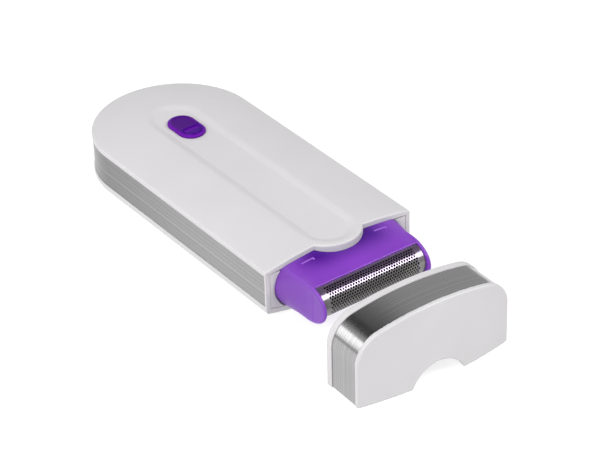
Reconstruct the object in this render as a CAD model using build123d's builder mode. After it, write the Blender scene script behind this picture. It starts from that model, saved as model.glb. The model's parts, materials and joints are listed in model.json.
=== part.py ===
from build123d import *
import os
from math import sqrt

# Flat rechargeable hair remover with a foil head and a loose protective cap.
# Millimetres, +Z up.  The handle lies on its belly along Y, head end towards -Y, and the
# origin is the middle of the flat land that it rests on.

os.makedirs("parts", exist_ok=True)

# ---------------------------------------------------------------- driving dimensions
WIDTH = 58.0
LENGTH = 121.0
HALF_WIDTH = WIDTH / 2
FRONT_Y = -LENGTH / 2
TAIL_CENTRE_Y = LENGTH / 2 - HALF_WIDTH
LOWER_EDGE_Z = 3.5
UPPER_EDGE_Z = 19.15
CROWN = 3.0
BELLY = 3.83
WALL = 1.7
GAP = 0.15
SNUG = 0.05                      # clearance of a piece seated in another
PAST = 1.0                       # how far a cutting form runs past what it cuts
ABOVE = 30.0                     # a height over the whole handle
TOLERANCE = 0.1                  # for picking out edges by where they lie

BAND_LOW_Z = 5.8
BAND_HIGH_Z = 17.7
BAND_THICKNESS = 0.6
BAND_FRONT_Y = FRONT_Y + 0.7
INNER_HALF = HALF_WIDTH - 2.2
LIP_THICKNESS = 1.2
LIP_DEPTH = 2.0
LIP_FRONT_Y = FRONT_Y + 4.5

TONGUE_HALF = 9.8
TONGUE_LENGTH = 5.4
TONGUE_RADIUS = (TONGUE_HALF**2 + TONGUE_LENGTH**2) / (2 * TONGUE_LENGTH)
TONGUE_CENTRE_Y = FRONT_Y - TONGUE_LENGTH + TONGUE_RADIUS
TONGUE_TIP_Y = FRONT_Y - TONGUE_LENGTH
CHANNEL_FLOOR_HALF = 7.0
CHANNEL_FLOOR_Z = 21.2
CHANNEL_DEPTH = 2.0
CHANNEL_SLOPE = 70               # degrees from upright
BACKING_HALF = 10.2
BACKING_THICKNESS = 1.1
EDGE_ROUND = 0.6
LOWER_EDGE_ROUND = 1.2

BUTTON_Y = 24.8
BUTTON_LENGTH = 15.7
BUTTON_WIDTH = 9.8
BUTTON_LOW_Z = CHANNEL_FLOOR_Z + 0.1
BUTTON_RIM_HEIGHT = 0.9
BUTTON_PAD_HEIGHT = 0.6
BUTTON_STEP = 2.4
BUTTON_ROUND = 0.4
SWITCH_TRAVEL = 3.0
STEM_HALF_WIDTH = 2.4
STEM_HALF_LENGTH = 2.9
STEM_LOW_Z = 16.9
STEM_CLEARANCE = 0.3
STEM_SLOT_CORNER = 0.5
LEVER_HALF = 1.2
LEVER_LOW_Z = 14.0
LEVER_TOP_Z = 18.8
LEVER_SOCKET_HALF = 1.5
SLIDER_HALF_WIDTH = 2.0
SLIDER_HALF_LENGTH = 2.6
SLIDER_LOW_Z = 12.0
SLIDER_TOP_Z = 14.6

AXIS_Z = 11.6                    # height of the motor, the drive and the foil
ORBIT = 0.6                      # throw of the drive pin, half of the cutter's stroke

SEAT_HALF = HALF_WIDTH - 1.65
BEZEL_HALF = SEAT_HALF - GAP
BEZEL_THICKNESS = 1.6
BEZEL_LIP = 1.5
BEZEL_TOP_Z = BAND_HIGH_Z - 0.1
HEAD_DEPTH = WALL + GAP
HEAD_BELLY_DEPTH = WALL + 0.45   # clears the inside of the cap's lower plate
HEAD_CORNER_TOP_X = 21.9
HEAD_BULGE_X = 25.4
HEAD_CORNER_LOW_X = 21.5
CREASE_Y = FRONT_Y - 14.4
CREASE_TOP_Z = 17.9
CREASE_LOW_Z = 4.7
CHEEK_OUTER_X = 21.5
CHEEK_INNER_X = 20.2
CHEEK_CENTRE_Y = FRONT_Y - 11.0
CHEEK_CENTRE_Z = 11.3
CHEEK_REACH = 9.8
CHEEK_HALF_HEIGHT = 7.1
FOIL_CENTRE_Y = FRONT_Y - 13.0
FOIL_REACH = 6.4
FOIL_HALF_HEIGHT = 5.6
FOIL_THICKNESS = 0.25
FOIL_ANGLE = 78                  # degrees to each side of straight ahead
TUNNEL_HALF = 19.4
TUNNEL_LOW_Z = 6.0
TUNNEL_HIGH_Z = 17.2
WINDOW_DEPTH = 3.0
FRAME_DEPTH = 2.9
FRAME_RAIL = 0.75
SPIGOT_WALL = 1.2
SPIGOT_CORNER = 1.5
SPIGOT_ROOT = 2.0
SPIGOT_REAR_Y = FRONT_Y + 4.5
BASE_REAR_Y = FRONT_Y + BEZEL_THICKNESS - GAP
MARK_INNER_X = 12.2
MARK_OUTER_X = 16.8
MARK_FRONT_Y = FRONT_Y - 3.1
MARK_WIDTH = 0.8
MARK_TOP_DEPTH = HEAD_DEPTH + 0.15
MARK_ROOT_DEPTH = WALL + 1.5

CARRIER_FRONT_Y = FOIL_CENTRE_Y + 0.5
CARRIER_REAR_Y = CARRIER_FRONT_Y + 3.6
CARRIER_HALF = 18.2
CARRIER_HALF_HEIGHT = 4.2
CARRIER_ROUND = 0.8
BLADE_COUNT = 25
BLADE_PITCH = 1.4
BLADE_THICKNESS = 0.3
BLADE_GAP = 0.2
BLADE_HALF_HEIGHT = 4.7          # lets the foil frame slide off over the blades
BLADE_REAR_Y = CREASE_Y - 0.1
BLADE_ROOT_LENGTH = 3.0
BLADE_ROOT_HEIGHT = 7.2
BLADE_HOLLOW_REACH = 3.6
BLADE_HOLLOW_HALF_HEIGHT = 2.6
KEY_HALF = 2.0
KEY_LENGTH = 1.5
KEY_GAP = 0.1
SPRING_X = 9.0
SPRING_SEAT_RADIUS = 2.3
SPRING_SEAT_DEPTH = 1.5
SPRING_RADIUS = 1.6
SPRING_PITCH = 0.95
SPRING_LENGTH = 2.9
SPRING_WIRE_RADIUS = 0.2
SPRING_FRONT_Y = CARRIER_REAR_Y - 1.1
CROSSBAR_FRONT_Y = CARRIER_REAR_Y + 2.2
CROSSBAR_THICKNESS = 2.2
CROSSBAR_HALF_HEIGHT = 3.2
NECK_HALF = 5.0
NECK_HALF_HEIGHT = 2.8
BRIDGE_REAR_Y = -50.0
BRIDGE_FRONT_Y = -55.0
BRIDGE_HALF = 13.0
BRIDGE_ROUND = 1.2
ROD_Y = (BRIDGE_FRONT_Y + BRIDGE_REAR_Y) / 2
ROD_RADIUS = 1.0
ROD_WALL = 2.0
ROD_LOW_Z = 6.6
ROD_HIGH_Z = 16.6
ROD_REACH = 17.6
RUNNING_GAP = 0.04
PIN_RADIUS = 0.75
PIN_LENGTH = 5.0
PIN_SIDE_GAP = 0.1
PIN_END_GAP = 0.2
PIN_SLOT_CORNER = 0.8
PIN_SLOT_DEPTH = 3.5

MOTOR_FRONT_Y = -41.0
MOTOR_REAR_Y = -20.0
MOTOR_LENGTH = MOTOR_REAR_Y - MOTOR_FRONT_Y
MOTOR_RADIUS = 8.0
MOTOR_FLAT = 6.3
MOTOR_WALL = 0.8
NOSE_LENGTH = 1.0
BUSH_RADIUS = 2.2
BUSH_LENGTH = 2.4
END_CAP_THICKNESS = 1.5
END_CAP_SPIGOT = 1.2
SHAFT_RADIUS = 1.0
SHAFT_FRONT_Y = MOTOR_FRONT_Y - 6.0
SHAFT_REAR_Y = MOTOR_REAR_Y + 1.4
MAGNET_BORE = 5.2
MAGNET_FRONT_Y = MOTOR_FRONT_Y + 4.0
MAGNET_REAR_Y = MOTOR_REAR_Y - 5.0
MAGNET_HALF_HEIGHT = 3.6
CORE_FRONT_Y = MOTOR_FRONT_Y + 5.0
CORE_REAR_Y = MOTOR_REAR_Y - 7.0
CORE_HUB_RADIUS = 2.0
CORE_RADIUS = 4.7
POLE_COUNT = 3
POLE_X = 2.8
POLE_SIZE = (2.6, 1.4)
SHOE_X = 4.2
SHOE_SIZE = (1.1, 4.6)
WINDING_X = 2.85
WINDING_SIDE = 1.15
WINDING_SIZE = (1.3, 0.7)
WINDING_OVERHANG = 0.4
COMMUTATOR_RADIUS = 1.9
COMMUTATOR_FRONT_Y = MOTOR_REAR_Y - 5.8
COMMUTATOR_REAR_Y = MOTOR_REAR_Y - 1.6
COMMUTATOR_SLOT = (0.5, 0.25)
BRUSH_INNER_X = 2.05
BRUSH_OUTER_X = 4.6
BRUSH_THICKNESS = 0.25
BRUSH_HALF_HEIGHT = 0.9
BRUSH_FRONT_Y = MOTOR_REAR_Y - 4.6
ECCENTRIC_RADIUS = 3.2
ECCENTRIC_FRONT_Y = SHAFT_FRONT_Y - 1.0
ECCENTRIC_REAR_Y = MOTOR_FRONT_Y - 2.5

DRIVE_PLATE_HALF = 16.0
DRIVE_PLATE_LOW_Z = 2.6
DRIVE_PLATE_TOP_Z = 3.9
POST_INNER_X = 14.6
POST_LOW_Z = 2.95
SADDLE_HALF = 9.5
SADDLE_LENGTH = 2.5
SADDLE_PLACES = (MOTOR_FRONT_Y + 2.0, MOTOR_REAR_Y - 4.0)
PAD_HALF_WIDTH = 10.0
PAD_HALF_LENGTH = 2.0
PAD_LOW_Z = 1.2
PAD_PLACES = (-52.0, -28.0)

CELL_RADIUS = 7.0
CELL_X = -15.6
CELL_Z = 10.9
CELL_REAR_Y = 36.0
CELL_FRONT_Y = -12.0
CELL_ROUND = 0.5
RIB_PLACES = (-4.0, 28.0)
RIB_HALF_THICKNESS = 0.8
RIB_REACH = 7.6
RIB_LOW_Z = 3.6
RIB_HIGH_Z = 8.0
RIB_FOOT_REACH = 4.0
RIB_FOOT_LOW_Z = 1.8
RIB_FOOT_HIGH_Z = 4.0
TAB_THICKNESS = 0.25
TAB_OUTER_X = CELL_X - 2.5
TAB_INNER_X = -3.0
TAB_HEIGHT = 3.0

BOARD_TOP_Z = 10.2
BOARD_THICKNESS = 1.2
BOARD_X = 5.0
BOARD_WIDTH = 22.0
BOARD_FRONT_Y = -14.0
BOARD_REAR_Y = 48.0
BOARD_TAIL_Y = 54.5
BOARD_TAIL_WIDTH = 9.0
POST_RADIUS = 1.5
POST_PLACES = [(-4.0, -11.0), (14.0, -11.0), (-4.0, 45.0), (14.0, 45.0)]
BOARD_BLOCKS = [                 # limits along X and Y, and height above the board
    ((7.0, 12.0), (-4.0, 1.0), 1.1),
    ((9.0, 13.0), (8.0, 12.0), 1.6),
]
CAPACITOR_PLACE = (11.0, 36.0)
CAPACITOR_RADIUS = 2.5
CAPACITOR_HEIGHT = 5.0
RESISTOR_X = (8.0, 10.0)
RESISTOR_PLACES = (16.0, 18.5, 21.0, 23.5)
RESISTOR_WIDTH = 1.2
RESISTOR_HEIGHT = 0.6
HOUSING_Y = BUTTON_Y - SWITCH_TRAVEL / 2
HOUSING_HALF_WIDTH = 3.0
HOUSING_HALF_LENGTH = 5.6
HOUSING_TOP_Z = 15.7
HOUSING_SIDE_WALL = 0.8
HOUSING_END_WALL = 1.0
HOUSING_WINDOW = (1.5, 3.1)
INLET_HALF = 4.2
INLET_LOW_Z = 9.75
INLET_HIGH_Z = 13.35
SOCKET_HALF = 3.9
SOCKET_FRONT_Y = BOARD_TAIL_Y - 1.4
SOCKET_REAR_Y = 59.9
SOCKET_TOP_Z = 12.9
SOCKET_WALL = 0.4
SOCKET_ROUND = 0.8
CONTACT_HALF = 2.6
CONTACT_REAR_Y = SOCKET_REAR_Y - 0.7
CONTACT_LOW_Z = BOARD_TOP_Z + 1.0
CONTACT_THICKNESS = 0.7
LEAD_PLACES = (2.5, 5.5)
LEAD_Z = AXIS_Z + 3.0
LEAD_TURN_Y = -12.0
LEAD_BEND = 2.5
LEAD_RADIUS = 0.5

SCREW_PLACES = [(-22.0, -46.0), (22.0, -46.0), (-19.5, 40.0), (19.5, 40.0)]
SCREW_RADIUS = 0.95
SCREW_LENGTH = 9.0
SCREW_CLEARANCE = 0.2
SCREW_SEAT_Z = 4.2
SCREW_HEAD_RADIUS = 1.9
SCREW_HEAD_HEIGHT = 1.5
SCREW_CROSS = (2.4, 0.5)
SCREW_CROSS_DEPTH = 0.8
HEAD_HOLE_RADIUS = 2.3
THREAD_GAP = 0.02
THREAD_DEPTH = 8.0
UPPER_BOSS_RADIUS = 2.4
LOWER_BOSS_RADIUS = 2.9
BOSS_SPLIT_Z = 9.0
BOSS_GAP = 0.1

CAP_HEIGHT = 26.6
CAP_X = -4.73                    # middle of the cap's upper-plate rim, where it stands
CAP_FACE_Y = -114.2
CAP_YAW = -1.592
CAP_TOP_RADIUS = 110.0
CAP_CORNER_RADIUS = 10.0
CAP_THICKNESS = UPPER_EDGE_Z - LOWER_EDGE_Z
CAP_UPPER_CROWN = 3.0
CAP_LOWER_CROWN = 3.5
CAP_END_CROWN = 0.01             # the closed end is all but flat
CAP_RIM_DEPTH = UPPER_EDGE_Z - BAND_HIGH_Z
CAP_BAND_DEPTH = CAP_THICKNESS - (BAND_LOW_Z - LOWER_EDGE_Z)
CAP_BAND_LIFT = 0.3
CAP_WALL = HALF_WIDTH - INNER_HALF
CAP_BEYOND = 10.0                # how far the cap's cutting forms stand clear of it
CAP_MARGIN = 5.0
NOTCH_RADIUS = 11.0
NOTCH_DEPTH = 6.3
GRIP_THICKNESS = 1.2
GRIP_WIDTH = 9.0
GRIP_LOW_Z = 1.0
GRIP_HEIGHT = 12.0
GRIP_RIB_RADIUS = 0.15
GRIP_RIB_PLACES = (-3.0, 0.0, 3.0)


# ---------------------------------------------------------------- shared shapes
def rise(half_width, radius):
    """How far an arc of this radius falls from its middle to half_width."""
    return radius - sqrt(radius**2 - half_width**2)


def arc_radius(half_width, crown):
    return (half_width**2 + crown**2) / (2 * crown)


CROWN_RADIUS = arc_radius(HALF_WIDTH, CROWN)
BELLY_RADIUS = arc_radius(HALF_WIDTH, BELLY)


def crown_z(x, depth=0.0):
    """Height of the surface that lies depth below the crowned top."""
    return UPPER_EDGE_Z + CROWN - depth - rise(x, CROWN_RADIUS - depth)


def belly_z(x, depth=0.0):
    """Height of the surface that lies depth above the rounded belly."""
    return LOWER_EDGE_Z - BELLY + depth + rise(x, BELLY_RADIUS - depth)


def top_line(start_x, end_x, depth):
    middle = (start_x + end_x) / 2
    return ThreePointArc(
        (start_x, crown_z(start_x, depth)),
        (middle, crown_z(middle, depth)),
        (end_x, crown_z(end_x, depth)),
    )


def belly_line(start_x, end_x, depth):
    middle = (start_x + end_x) / 2
    return ThreePointArc(
        (start_x, belly_z(start_x, depth)),
        (middle, belly_z(middle, depth)),
        (end_x, belly_z(end_x, depth)),
    )


def loaf(half_width, low, high, front_y=FRONT_Y):
    """A closed form with the handle's outline: straight sides and a round tail.

    low and high are ("flat", z), ("crown", depth) or ("belly", depth)."""
    def height(x, limit):
        kind, value = limit
        if kind == "flat":
            return value
        return crown_z(x, value) if kind == "crown" else belly_z(x, value)

    with BuildPart() as form:
        with BuildSketch(Plane.XZ.offset(-TAIL_CENTRE_Y)) as half:
            with BuildLine():
                Line((0, height(0, low)), (0, height(0, high)))
                for limit in (low, high):
                    ends = [(x, height(x, limit)) for x in (0, half_width / 2, half_width)]
                    if limit[0] == "flat":
                        Line(ends[0], ends[2])
                    else:
                        ThreePointArc(*ends)
                Line((half_width, height(half_width, high)), (half_width, height(half_width, low)))
            make_face()
        extrude(amount=TAIL_CENTRE_Y - front_y)
        mirror(about=Plane.YZ)
        revolve(half.sketch, axis=Axis((0, TAIL_CENTRE_Y, 0), (0, 0, 1)), revolution_arc=180)
    return form.part


def bar(x, y, z):
    """A box between two limits on each axis, kept out of the part being built."""
    size = [abs(b - a) for a, b in (x, y, z)]
    middle = [(a + b) / 2 for a, b in (x, y, z)]
    return Pos(*middle) * Box(*size, mode=Mode.PRIVATE)


def around(middle, half):
    """The two limits that lie half to each side of middle."""
    return (middle - half, middle + half)


def save(builder, label):
    builder.part.label = label
    export_step(builder.part, f"parts/{label}.step")


# ---------------------------------------------------------------- handle covers
def is_top_rim(edge):
    """True for the outline of the crowned top, false for the seams that cross it."""
    middle = edge.center()
    lengthwise = abs(edge.tangent_at(0.5).Y) > 0.9
    on_side = lengthwise and abs(abs(middle.X) - HALF_WIDTH) < TOLERANCE
    on_middle_line = lengthwise and abs(middle.X) < TOLERANCE
    across_tail = abs(middle.Y - TAIL_CENTRE_Y) < TOLERANCE
    return middle.Z > UPPER_EDGE_Z - TOLERANCE and (on_side or not (on_middle_line or across_tail))


def is_lower_rim(edge):
    """True for the sides and the tail of the belly's outline."""
    middle = edge.center()
    on_side = abs(abs(middle.X) - HALF_WIDTH) < TOLERANCE
    return abs(middle.Z - LOWER_EDGE_Z) < TOLERANCE and (on_side or middle.Y > TAIL_CENTRE_Y + PAST)


cover_skin = loaf(HALF_WIDTH, ("flat", BAND_HIGH_Z), ("crown", 0), TONGUE_TIP_Y - PAST)
lip_outside = loaf(INNER_HALF - GAP, ("flat", BAND_HIGH_Z - LIP_DEPTH), ("flat", BAND_HIGH_Z), LIP_FRONT_Y)
cover_hollow = loaf(
    INNER_HALF - GAP - LIP_THICKNESS, ("flat", 0), ("crown", WALL), TONGUE_TIP_Y - 2 * PAST
)

with BuildPart() as top_cover:
    add(cover_skin)
    with BuildSketch(Plane.XY.offset(BAND_HIGH_Z)):
        with Locations((0, FRONT_Y + LENGTH)):
            Rectangle(WIDTH, 2 * LENGTH)
        with Locations((0, TONGUE_CENTRE_Y)):
            Circle(TONGUE_RADIUS)
    extrude(amount=UPPER_EDGE_Z, mode=Mode.INTERSECT)
    fillet(top_cover.edges().filter_by(is_top_rim), radius=EDGE_ROUND)
    add(lip_outside)
    add(cover_hollow, mode=Mode.SUBTRACT)
    # thicker skin under the recessed channel, behind the tongue
    with BuildSketch(Plane.XY.offset(CHANNEL_FLOOR_Z - WALL)):
        with Locations((0, (LIP_FRONT_Y + TAIL_CENTRE_Y) / 2)):
            Rectangle(2 * BACKING_HALF, TAIL_CENTRE_Y - LIP_FRONT_Y)
        with Locations((0, TAIL_CENTRE_Y)):
            Circle(BACKING_HALF)
    extrude(amount=BACKING_THICKNESS)
    # recessed channel with sloping walls
    with BuildSketch(Plane.XY.offset(CHANNEL_FLOOR_Z)):
        with Locations((0, (TONGUE_CENTRE_Y + TAIL_CENTRE_Y) / 2)):
            SlotCenterToCenter(TAIL_CENTRE_Y - TONGUE_CENTRE_Y, 2 * CHANNEL_FLOOR_HALF, rotation=90)
    extrude(amount=CHANNEL_DEPTH, taper=-CHANNEL_SLOPE, mode=Mode.SUBTRACT)
    # slot for the switch button's stem
    with BuildSketch(Plane.XY.offset(BAND_HIGH_Z)):
        with Locations((0, HOUSING_Y)):
            RectangleRounded(
                2 * (STEM_HALF_WIDTH + STEM_CLEARANCE),
                2 * (STEM_HALF_LENGTH + STEM_CLEARANCE) + SWITCH_TRAVEL, STEM_SLOT_CORNER)
    extrude(amount=UPPER_EDGE_Z, mode=Mode.SUBTRACT)
    # screw bosses
    with BuildSketch(Plane.XY.offset(BOSS_SPLIT_Z + BOSS_GAP)):
        with Locations(*SCREW_PLACES):
            Circle(UPPER_BOSS_RADIUS)
    extrude(until=Until.NEXT)
    with BuildSketch(Plane.XY.offset(BOSS_SPLIT_Z)):
        with Locations(*SCREW_PLACES):
            Circle(SCREW_RADIUS + THREAD_GAP)
    extrude(amount=THREAD_DEPTH, mode=Mode.SUBTRACT)
save(top_cover, "top_cover")

tray_skin = loaf(HALF_WIDTH, ("belly", 0), ("flat", BAND_HIGH_Z))
tray_hollow = loaf(INNER_HALF, ("belly", WALL), ("flat", ABOVE), FRONT_Y - PAST)
rebate_outside = loaf(
    HALF_WIDTH + PAST, ("flat", BAND_LOW_Z), ("flat", BAND_HIGH_Z + PAST), BAND_FRONT_Y
)
rebate_inside = loaf(HALF_WIDTH - BAND_THICKNESS, ("flat", 0), ("flat", ABOVE), FRONT_Y - PAST)
bezel_seat = bar(
    around(0, SEAT_HALF), (FRONT_Y - PAST, FRONT_Y + BEZEL_THICKNESS), (belly_z(SEAT_HALF, WALL), ABOVE)
)
inlet_opening = bar(around(0, INLET_HALF), (BOARD_TAIL_Y, LENGTH), (INLET_LOW_Z, INLET_HIGH_Z))
cell_space = Pos(CELL_X, (CELL_FRONT_Y + CELL_REAR_Y) / 2, CELL_Z) * Cylinder(
    CELL_RADIUS + SNUG, CELL_REAR_Y - CELL_FRONT_Y, rotation=(90, 0, 0), mode=Mode.PRIVATE
)

with BuildPart() as band_rebate:
    add(rebate_outside)
    add(rebate_inside, mode=Mode.SUBTRACT)

with BuildPart() as bottom_cover:
    add(tray_skin)
    fillet(bottom_cover.edges().filter_by(is_lower_rim), radius=LOWER_EDGE_ROUND)
    split(bisect_by=Plane.XY, keep=Keep.TOP)
    add(tray_hollow, mode=Mode.SUBTRACT)
    add(band_rebate.part, mode=Mode.SUBTRACT)
    add(bezel_seat, mode=Mode.SUBTRACT)
    # screw bosses and board posts
    with BuildSketch(Plane.XY.offset(BOSS_SPLIT_Z)):
        with Locations(*SCREW_PLACES):
            Circle(LOWER_BOSS_RADIUS)
    extrude(until=Until.NEXT, dir=(0, 0, -1))
    with BuildSketch(Plane.XY.offset(BOARD_TOP_Z - BOARD_THICKNESS)):
        with Locations(*POST_PLACES):
            Circle(POST_RADIUS)
    extrude(until=Until.NEXT, dir=(0, 0, -1))
    # cradles for the cell
    for rib_y in RIB_PLACES:
        along = around(rib_y, RIB_HALF_THICKNESS)
        add(bar(around(CELL_X, RIB_REACH), along, (RIB_LOW_Z, RIB_HIGH_Z)))
        add(bar((CELL_X - RIB_FOOT_REACH, CELL_X + RIB_REACH), along, (RIB_FOOT_LOW_Z, RIB_FOOT_HIGH_Z)))
    add(cell_space, mode=Mode.SUBTRACT)
    # pads under the drive frame
    for pad_y in PAD_PLACES:
        add(bar(around(0, PAD_HALF_WIDTH), around(pad_y, PAD_HALF_LENGTH), (PAD_LOW_Z, DRIVE_PLATE_LOW_Z)))
    with BuildSketch(Plane.XY):
        with Locations(*SCREW_PLACES):
            Circle(HEAD_HOLE_RADIUS)
    extrude(amount=SCREW_SEAT_Z, mode=Mode.SUBTRACT)
    with BuildSketch(Plane.XY):
        with Locations(*SCREW_PLACES):
            Circle(SCREW_RADIUS + SCREW_CLEARANCE)
    extrude(amount=BOSS_SPLIT_Z + PAST, mode=Mode.SUBTRACT)
    add(inlet_opening, mode=Mode.SUBTRACT)
save(bottom_cover, "bottom_cover")

with BuildPart() as side_band:
    add(loaf(HALF_WIDTH, ("flat", BAND_LOW_Z), ("flat", BAND_HIGH_Z), BAND_FRONT_Y))
    add(rebate_inside, mode=Mode.SUBTRACT)
    add(inlet_opening, mode=Mode.SUBTRACT)
save(side_band, "side_band")


# ---------------------------------------------------------------- front bezel
def barrel(depth, low_depth, grow):
    """Section of the head where it meets the handle, in the sketch being drawn."""
    top_x = HEAD_CORNER_TOP_X + grow
    low_x = HEAD_CORNER_LOW_X + grow
    bulge_x = HEAD_BULGE_X + grow
    with BuildLine() as outline:
        top_line(-top_x, top_x, depth)
        belly_line(-low_x, low_x, low_depth)
        for side in (-1, 1):
            ThreePointArc(
                (side * top_x, crown_z(top_x, depth)),
                (side * bulge_x, AXIS_Z),
                (side * low_x, belly_z(low_x, low_depth)),
            )
    make_face(outline.edges())


def front_outline(half, depth):
    with BuildLine() as outline:
        top_line(-half, half, depth)
        belly_line(-half, half, depth)
        for side in (-1, 1):
            Line((side * half, crown_z(half, depth)), (side * half, belly_z(half, depth)))
    make_face(outline.edges())


def spigot_section(grow):
    """Outline of the head's spigot, grow larger all round, in the sketch being drawn."""
    with Locations((0, (TUNNEL_LOW_Z + TUNNEL_HIGH_Z) / 2)):
        RectangleRounded(
            2 * (TUNNEL_HALF + SPIGOT_WALL + grow),
            TUNNEL_HIGH_Z - TUNNEL_LOW_Z + 2 * (SPIGOT_WALL + grow), SPIGOT_CORNER + grow)


over_bezel = bar(around(0, HALF_WIDTH), (FRONT_Y, FRONT_Y + BEZEL_THICKNESS), (BEZEL_TOP_Z, ABOVE))

with BuildPart() as front_bezel:
    with BuildSketch(Plane.XZ.offset(-FRONT_Y - BEZEL_THICKNESS)):
        front_outline(BEZEL_HALF, WALL + GAP)
    extrude(amount=BEZEL_THICKNESS)
    add(over_bezel, mode=Mode.SUBTRACT)
    with BuildSketch(Plane.XZ.offset(-FRONT_Y)):
        barrel(WALL, WALL, GAP)
    extrude(amount=-BEZEL_THICKNESS, mode=Mode.SUBTRACT)
    with BuildSketch(Plane.XZ.offset(-FRONT_Y - BEZEL_THICKNESS)):
        front_outline(INNER_HALF - 2 * GAP - LIP_THICKNESS, WALL + GAP)
    extrude(amount=-BEZEL_LIP)
    with BuildSketch(Plane.XZ.offset(-FRONT_Y)):
        spigot_section(GAP)
    extrude(amount=-(BEZEL_THICKNESS + BEZEL_LIP + PAST), mode=Mode.SUBTRACT)
save(front_bezel, "front_bezel")


# ---------------------------------------------------------------- foil head
def foil_line(inset):
    return EllipticalCenterArc(
        (FOIL_CENTRE_Y, AXIS_Z), FOIL_REACH - inset, FOIL_HALF_HEIGHT - inset,
        start_angle=180 - FOIL_ANGLE, arc_size=2 * FOIL_ANGLE)


def through_tunnel(half, rear_y):
    """The tunnel's opening from just in front of the crease back to rear_y."""
    return bar(around(0, half), (CREASE_Y - PAST, rear_y), (TUNNEL_LOW_Z, TUNNEL_HIGH_Z))


between_cheeks = bar(around(0, CHEEK_INNER_X), (CREASE_Y - CHEEK_REACH, CREASE_Y), (0, ABOVE))

with BuildPart() as head_shell:
    with BuildSketch(Plane.XZ.offset(-FRONT_Y)):
        barrel(HEAD_DEPTH, HEAD_BELLY_DEPTH, 0)
    with BuildSketch(Plane.XZ.offset(-CREASE_Y)):
        with Locations((0, (CREASE_TOP_Z + CREASE_LOW_Z) / 2)):
            Rectangle(2 * CHEEK_OUTER_X, CREASE_TOP_Z - CREASE_LOW_Z)
    loft(ruled=True)
    with BuildSketch(Plane.XZ.offset(-BASE_REAR_Y)):
        barrel(HEAD_DEPTH, HEAD_BELLY_DEPTH, 0)
    extrude(amount=BASE_REAR_Y - FRONT_Y)
    # cheeks that guard both ends of the foil
    with BuildSketch(Plane.YZ.offset(-CHEEK_OUTER_X)):
        with Locations((CHEEK_CENTRE_Y, CHEEK_CENTRE_Z)):
            Ellipse(CHEEK_REACH, CHEEK_HALF_HEIGHT)
        with Locations((CREASE_Y + CHEEK_REACH, CHEEK_CENTRE_Z)):
            Rectangle(2 * CHEEK_REACH, 3 * CHEEK_HALF_HEIGHT, mode=Mode.SUBTRACT)
    extrude(amount=2 * CHEEK_OUTER_X)
    add(between_cheeks, mode=Mode.SUBTRACT)
    # spigot that plugs into the handle
    with BuildSketch(Plane.XZ.offset(-SPIGOT_REAR_Y)):
        spigot_section(0)
    extrude(amount=SPIGOT_REAR_Y - FRONT_Y + SPIGOT_ROOT)
    # tunnel for the cutter, and the wider window that holds the foil frame
    add(through_tunnel(TUNNEL_HALF, SPIGOT_REAR_Y + PAST), mode=Mode.SUBTRACT)
    add(through_tunnel(CHEEK_INNER_X, CREASE_Y + WINDOW_DEPTH), mode=Mode.SUBTRACT)
    # two release marks on top, beside the handle's tongue
    for side in (-1, 1):
        with BuildSketch(Plane.XZ.offset(-(MARK_FRONT_Y + MARK_WIDTH))):
            with BuildLine():
                upper = top_line(side * MARK_INNER_X, side * MARK_OUTER_X, MARK_TOP_DEPTH)
                lower = top_line(side * MARK_INNER_X, side * MARK_OUTER_X, MARK_ROOT_DEPTH)
                Line(upper @ 0, lower @ 0)
                Line(upper @ 1, lower @ 1)
            make_face()
        extrude(amount=MARK_WIDTH)
save(head_shell, "head_shell")

with BuildPart() as foil_sheet:
    with BuildSketch(Plane.YZ.offset(-CHEEK_INNER_X + SNUG)):
        with BuildLine():
            outer_line = foil_line(0)
            inner_line = foil_line(FOIL_THICKNESS)
            Line(outer_line @ 0, inner_line @ 0)
            Line(outer_line @ 1, inner_line @ 1)
        make_face()
    extrude(amount=2 * (CHEEK_INNER_X - SNUG))
save(foil_sheet, "foil_sheet")

FRAME_REAR_Y = CREASE_Y + FRAME_DEPTH
frame_outside = bar(
    around(0, CHEEK_INNER_X - GAP), (CREASE_Y + GAP, FRAME_REAR_Y), (TUNNEL_LOW_Z + GAP, TUNNEL_HIGH_Z - GAP)
)
frame_inside = bar(
    around(0, TUNNEL_HALF - 2 * SNUG), (CREASE_Y - PAST, FRAME_REAR_Y + PAST),
    (TUNNEL_LOW_Z + FRAME_RAIL, TUNNEL_HIGH_Z - FRAME_RAIL)
)
with BuildPart() as foil_frame:
    add(frame_outside)
    add(frame_inside, mode=Mode.SUBTRACT)
save(foil_frame, "foil_frame")

# ---------------------------------------------------------------- oscillating cutter
with BuildPart() as cutter_blades:
    with BuildSketch(Plane.YZ.offset(-BLADE_PITCH * (BLADE_COUNT - 1) / 2 - BLADE_THICKNESS / 2)):
        with Locations((FOIL_CENTRE_Y, AXIS_Z)):
            Ellipse(FOIL_REACH - FOIL_THICKNESS - BLADE_GAP, FOIL_HALF_HEIGHT - FOIL_THICKNESS - BLADE_GAP)
        with Locations((BLADE_REAR_Y - FOIL_REACH, AXIS_Z)):
            Rectangle(2 * FOIL_REACH, 2 * BLADE_HALF_HEIGHT, mode=Mode.INTERSECT)
        with Locations((CARRIER_FRONT_Y - BLADE_ROOT_LENGTH / 2, AXIS_Z)):
            Rectangle(BLADE_ROOT_LENGTH, BLADE_ROOT_HEIGHT)
        with Locations((CARRIER_FRONT_Y, AXIS_Z)):
            Ellipse(BLADE_HOLLOW_REACH, BLADE_HOLLOW_HALF_HEIGHT, mode=Mode.SUBTRACT)
    blade_profile = extrude(amount=BLADE_THICKNESS)
    with Locations(*[(BLADE_PITCH * i, 0, 0) for i in range(1, BLADE_COUNT)]):
        add(blade_profile)
save(cutter_blades, "cutter_blades")

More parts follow.
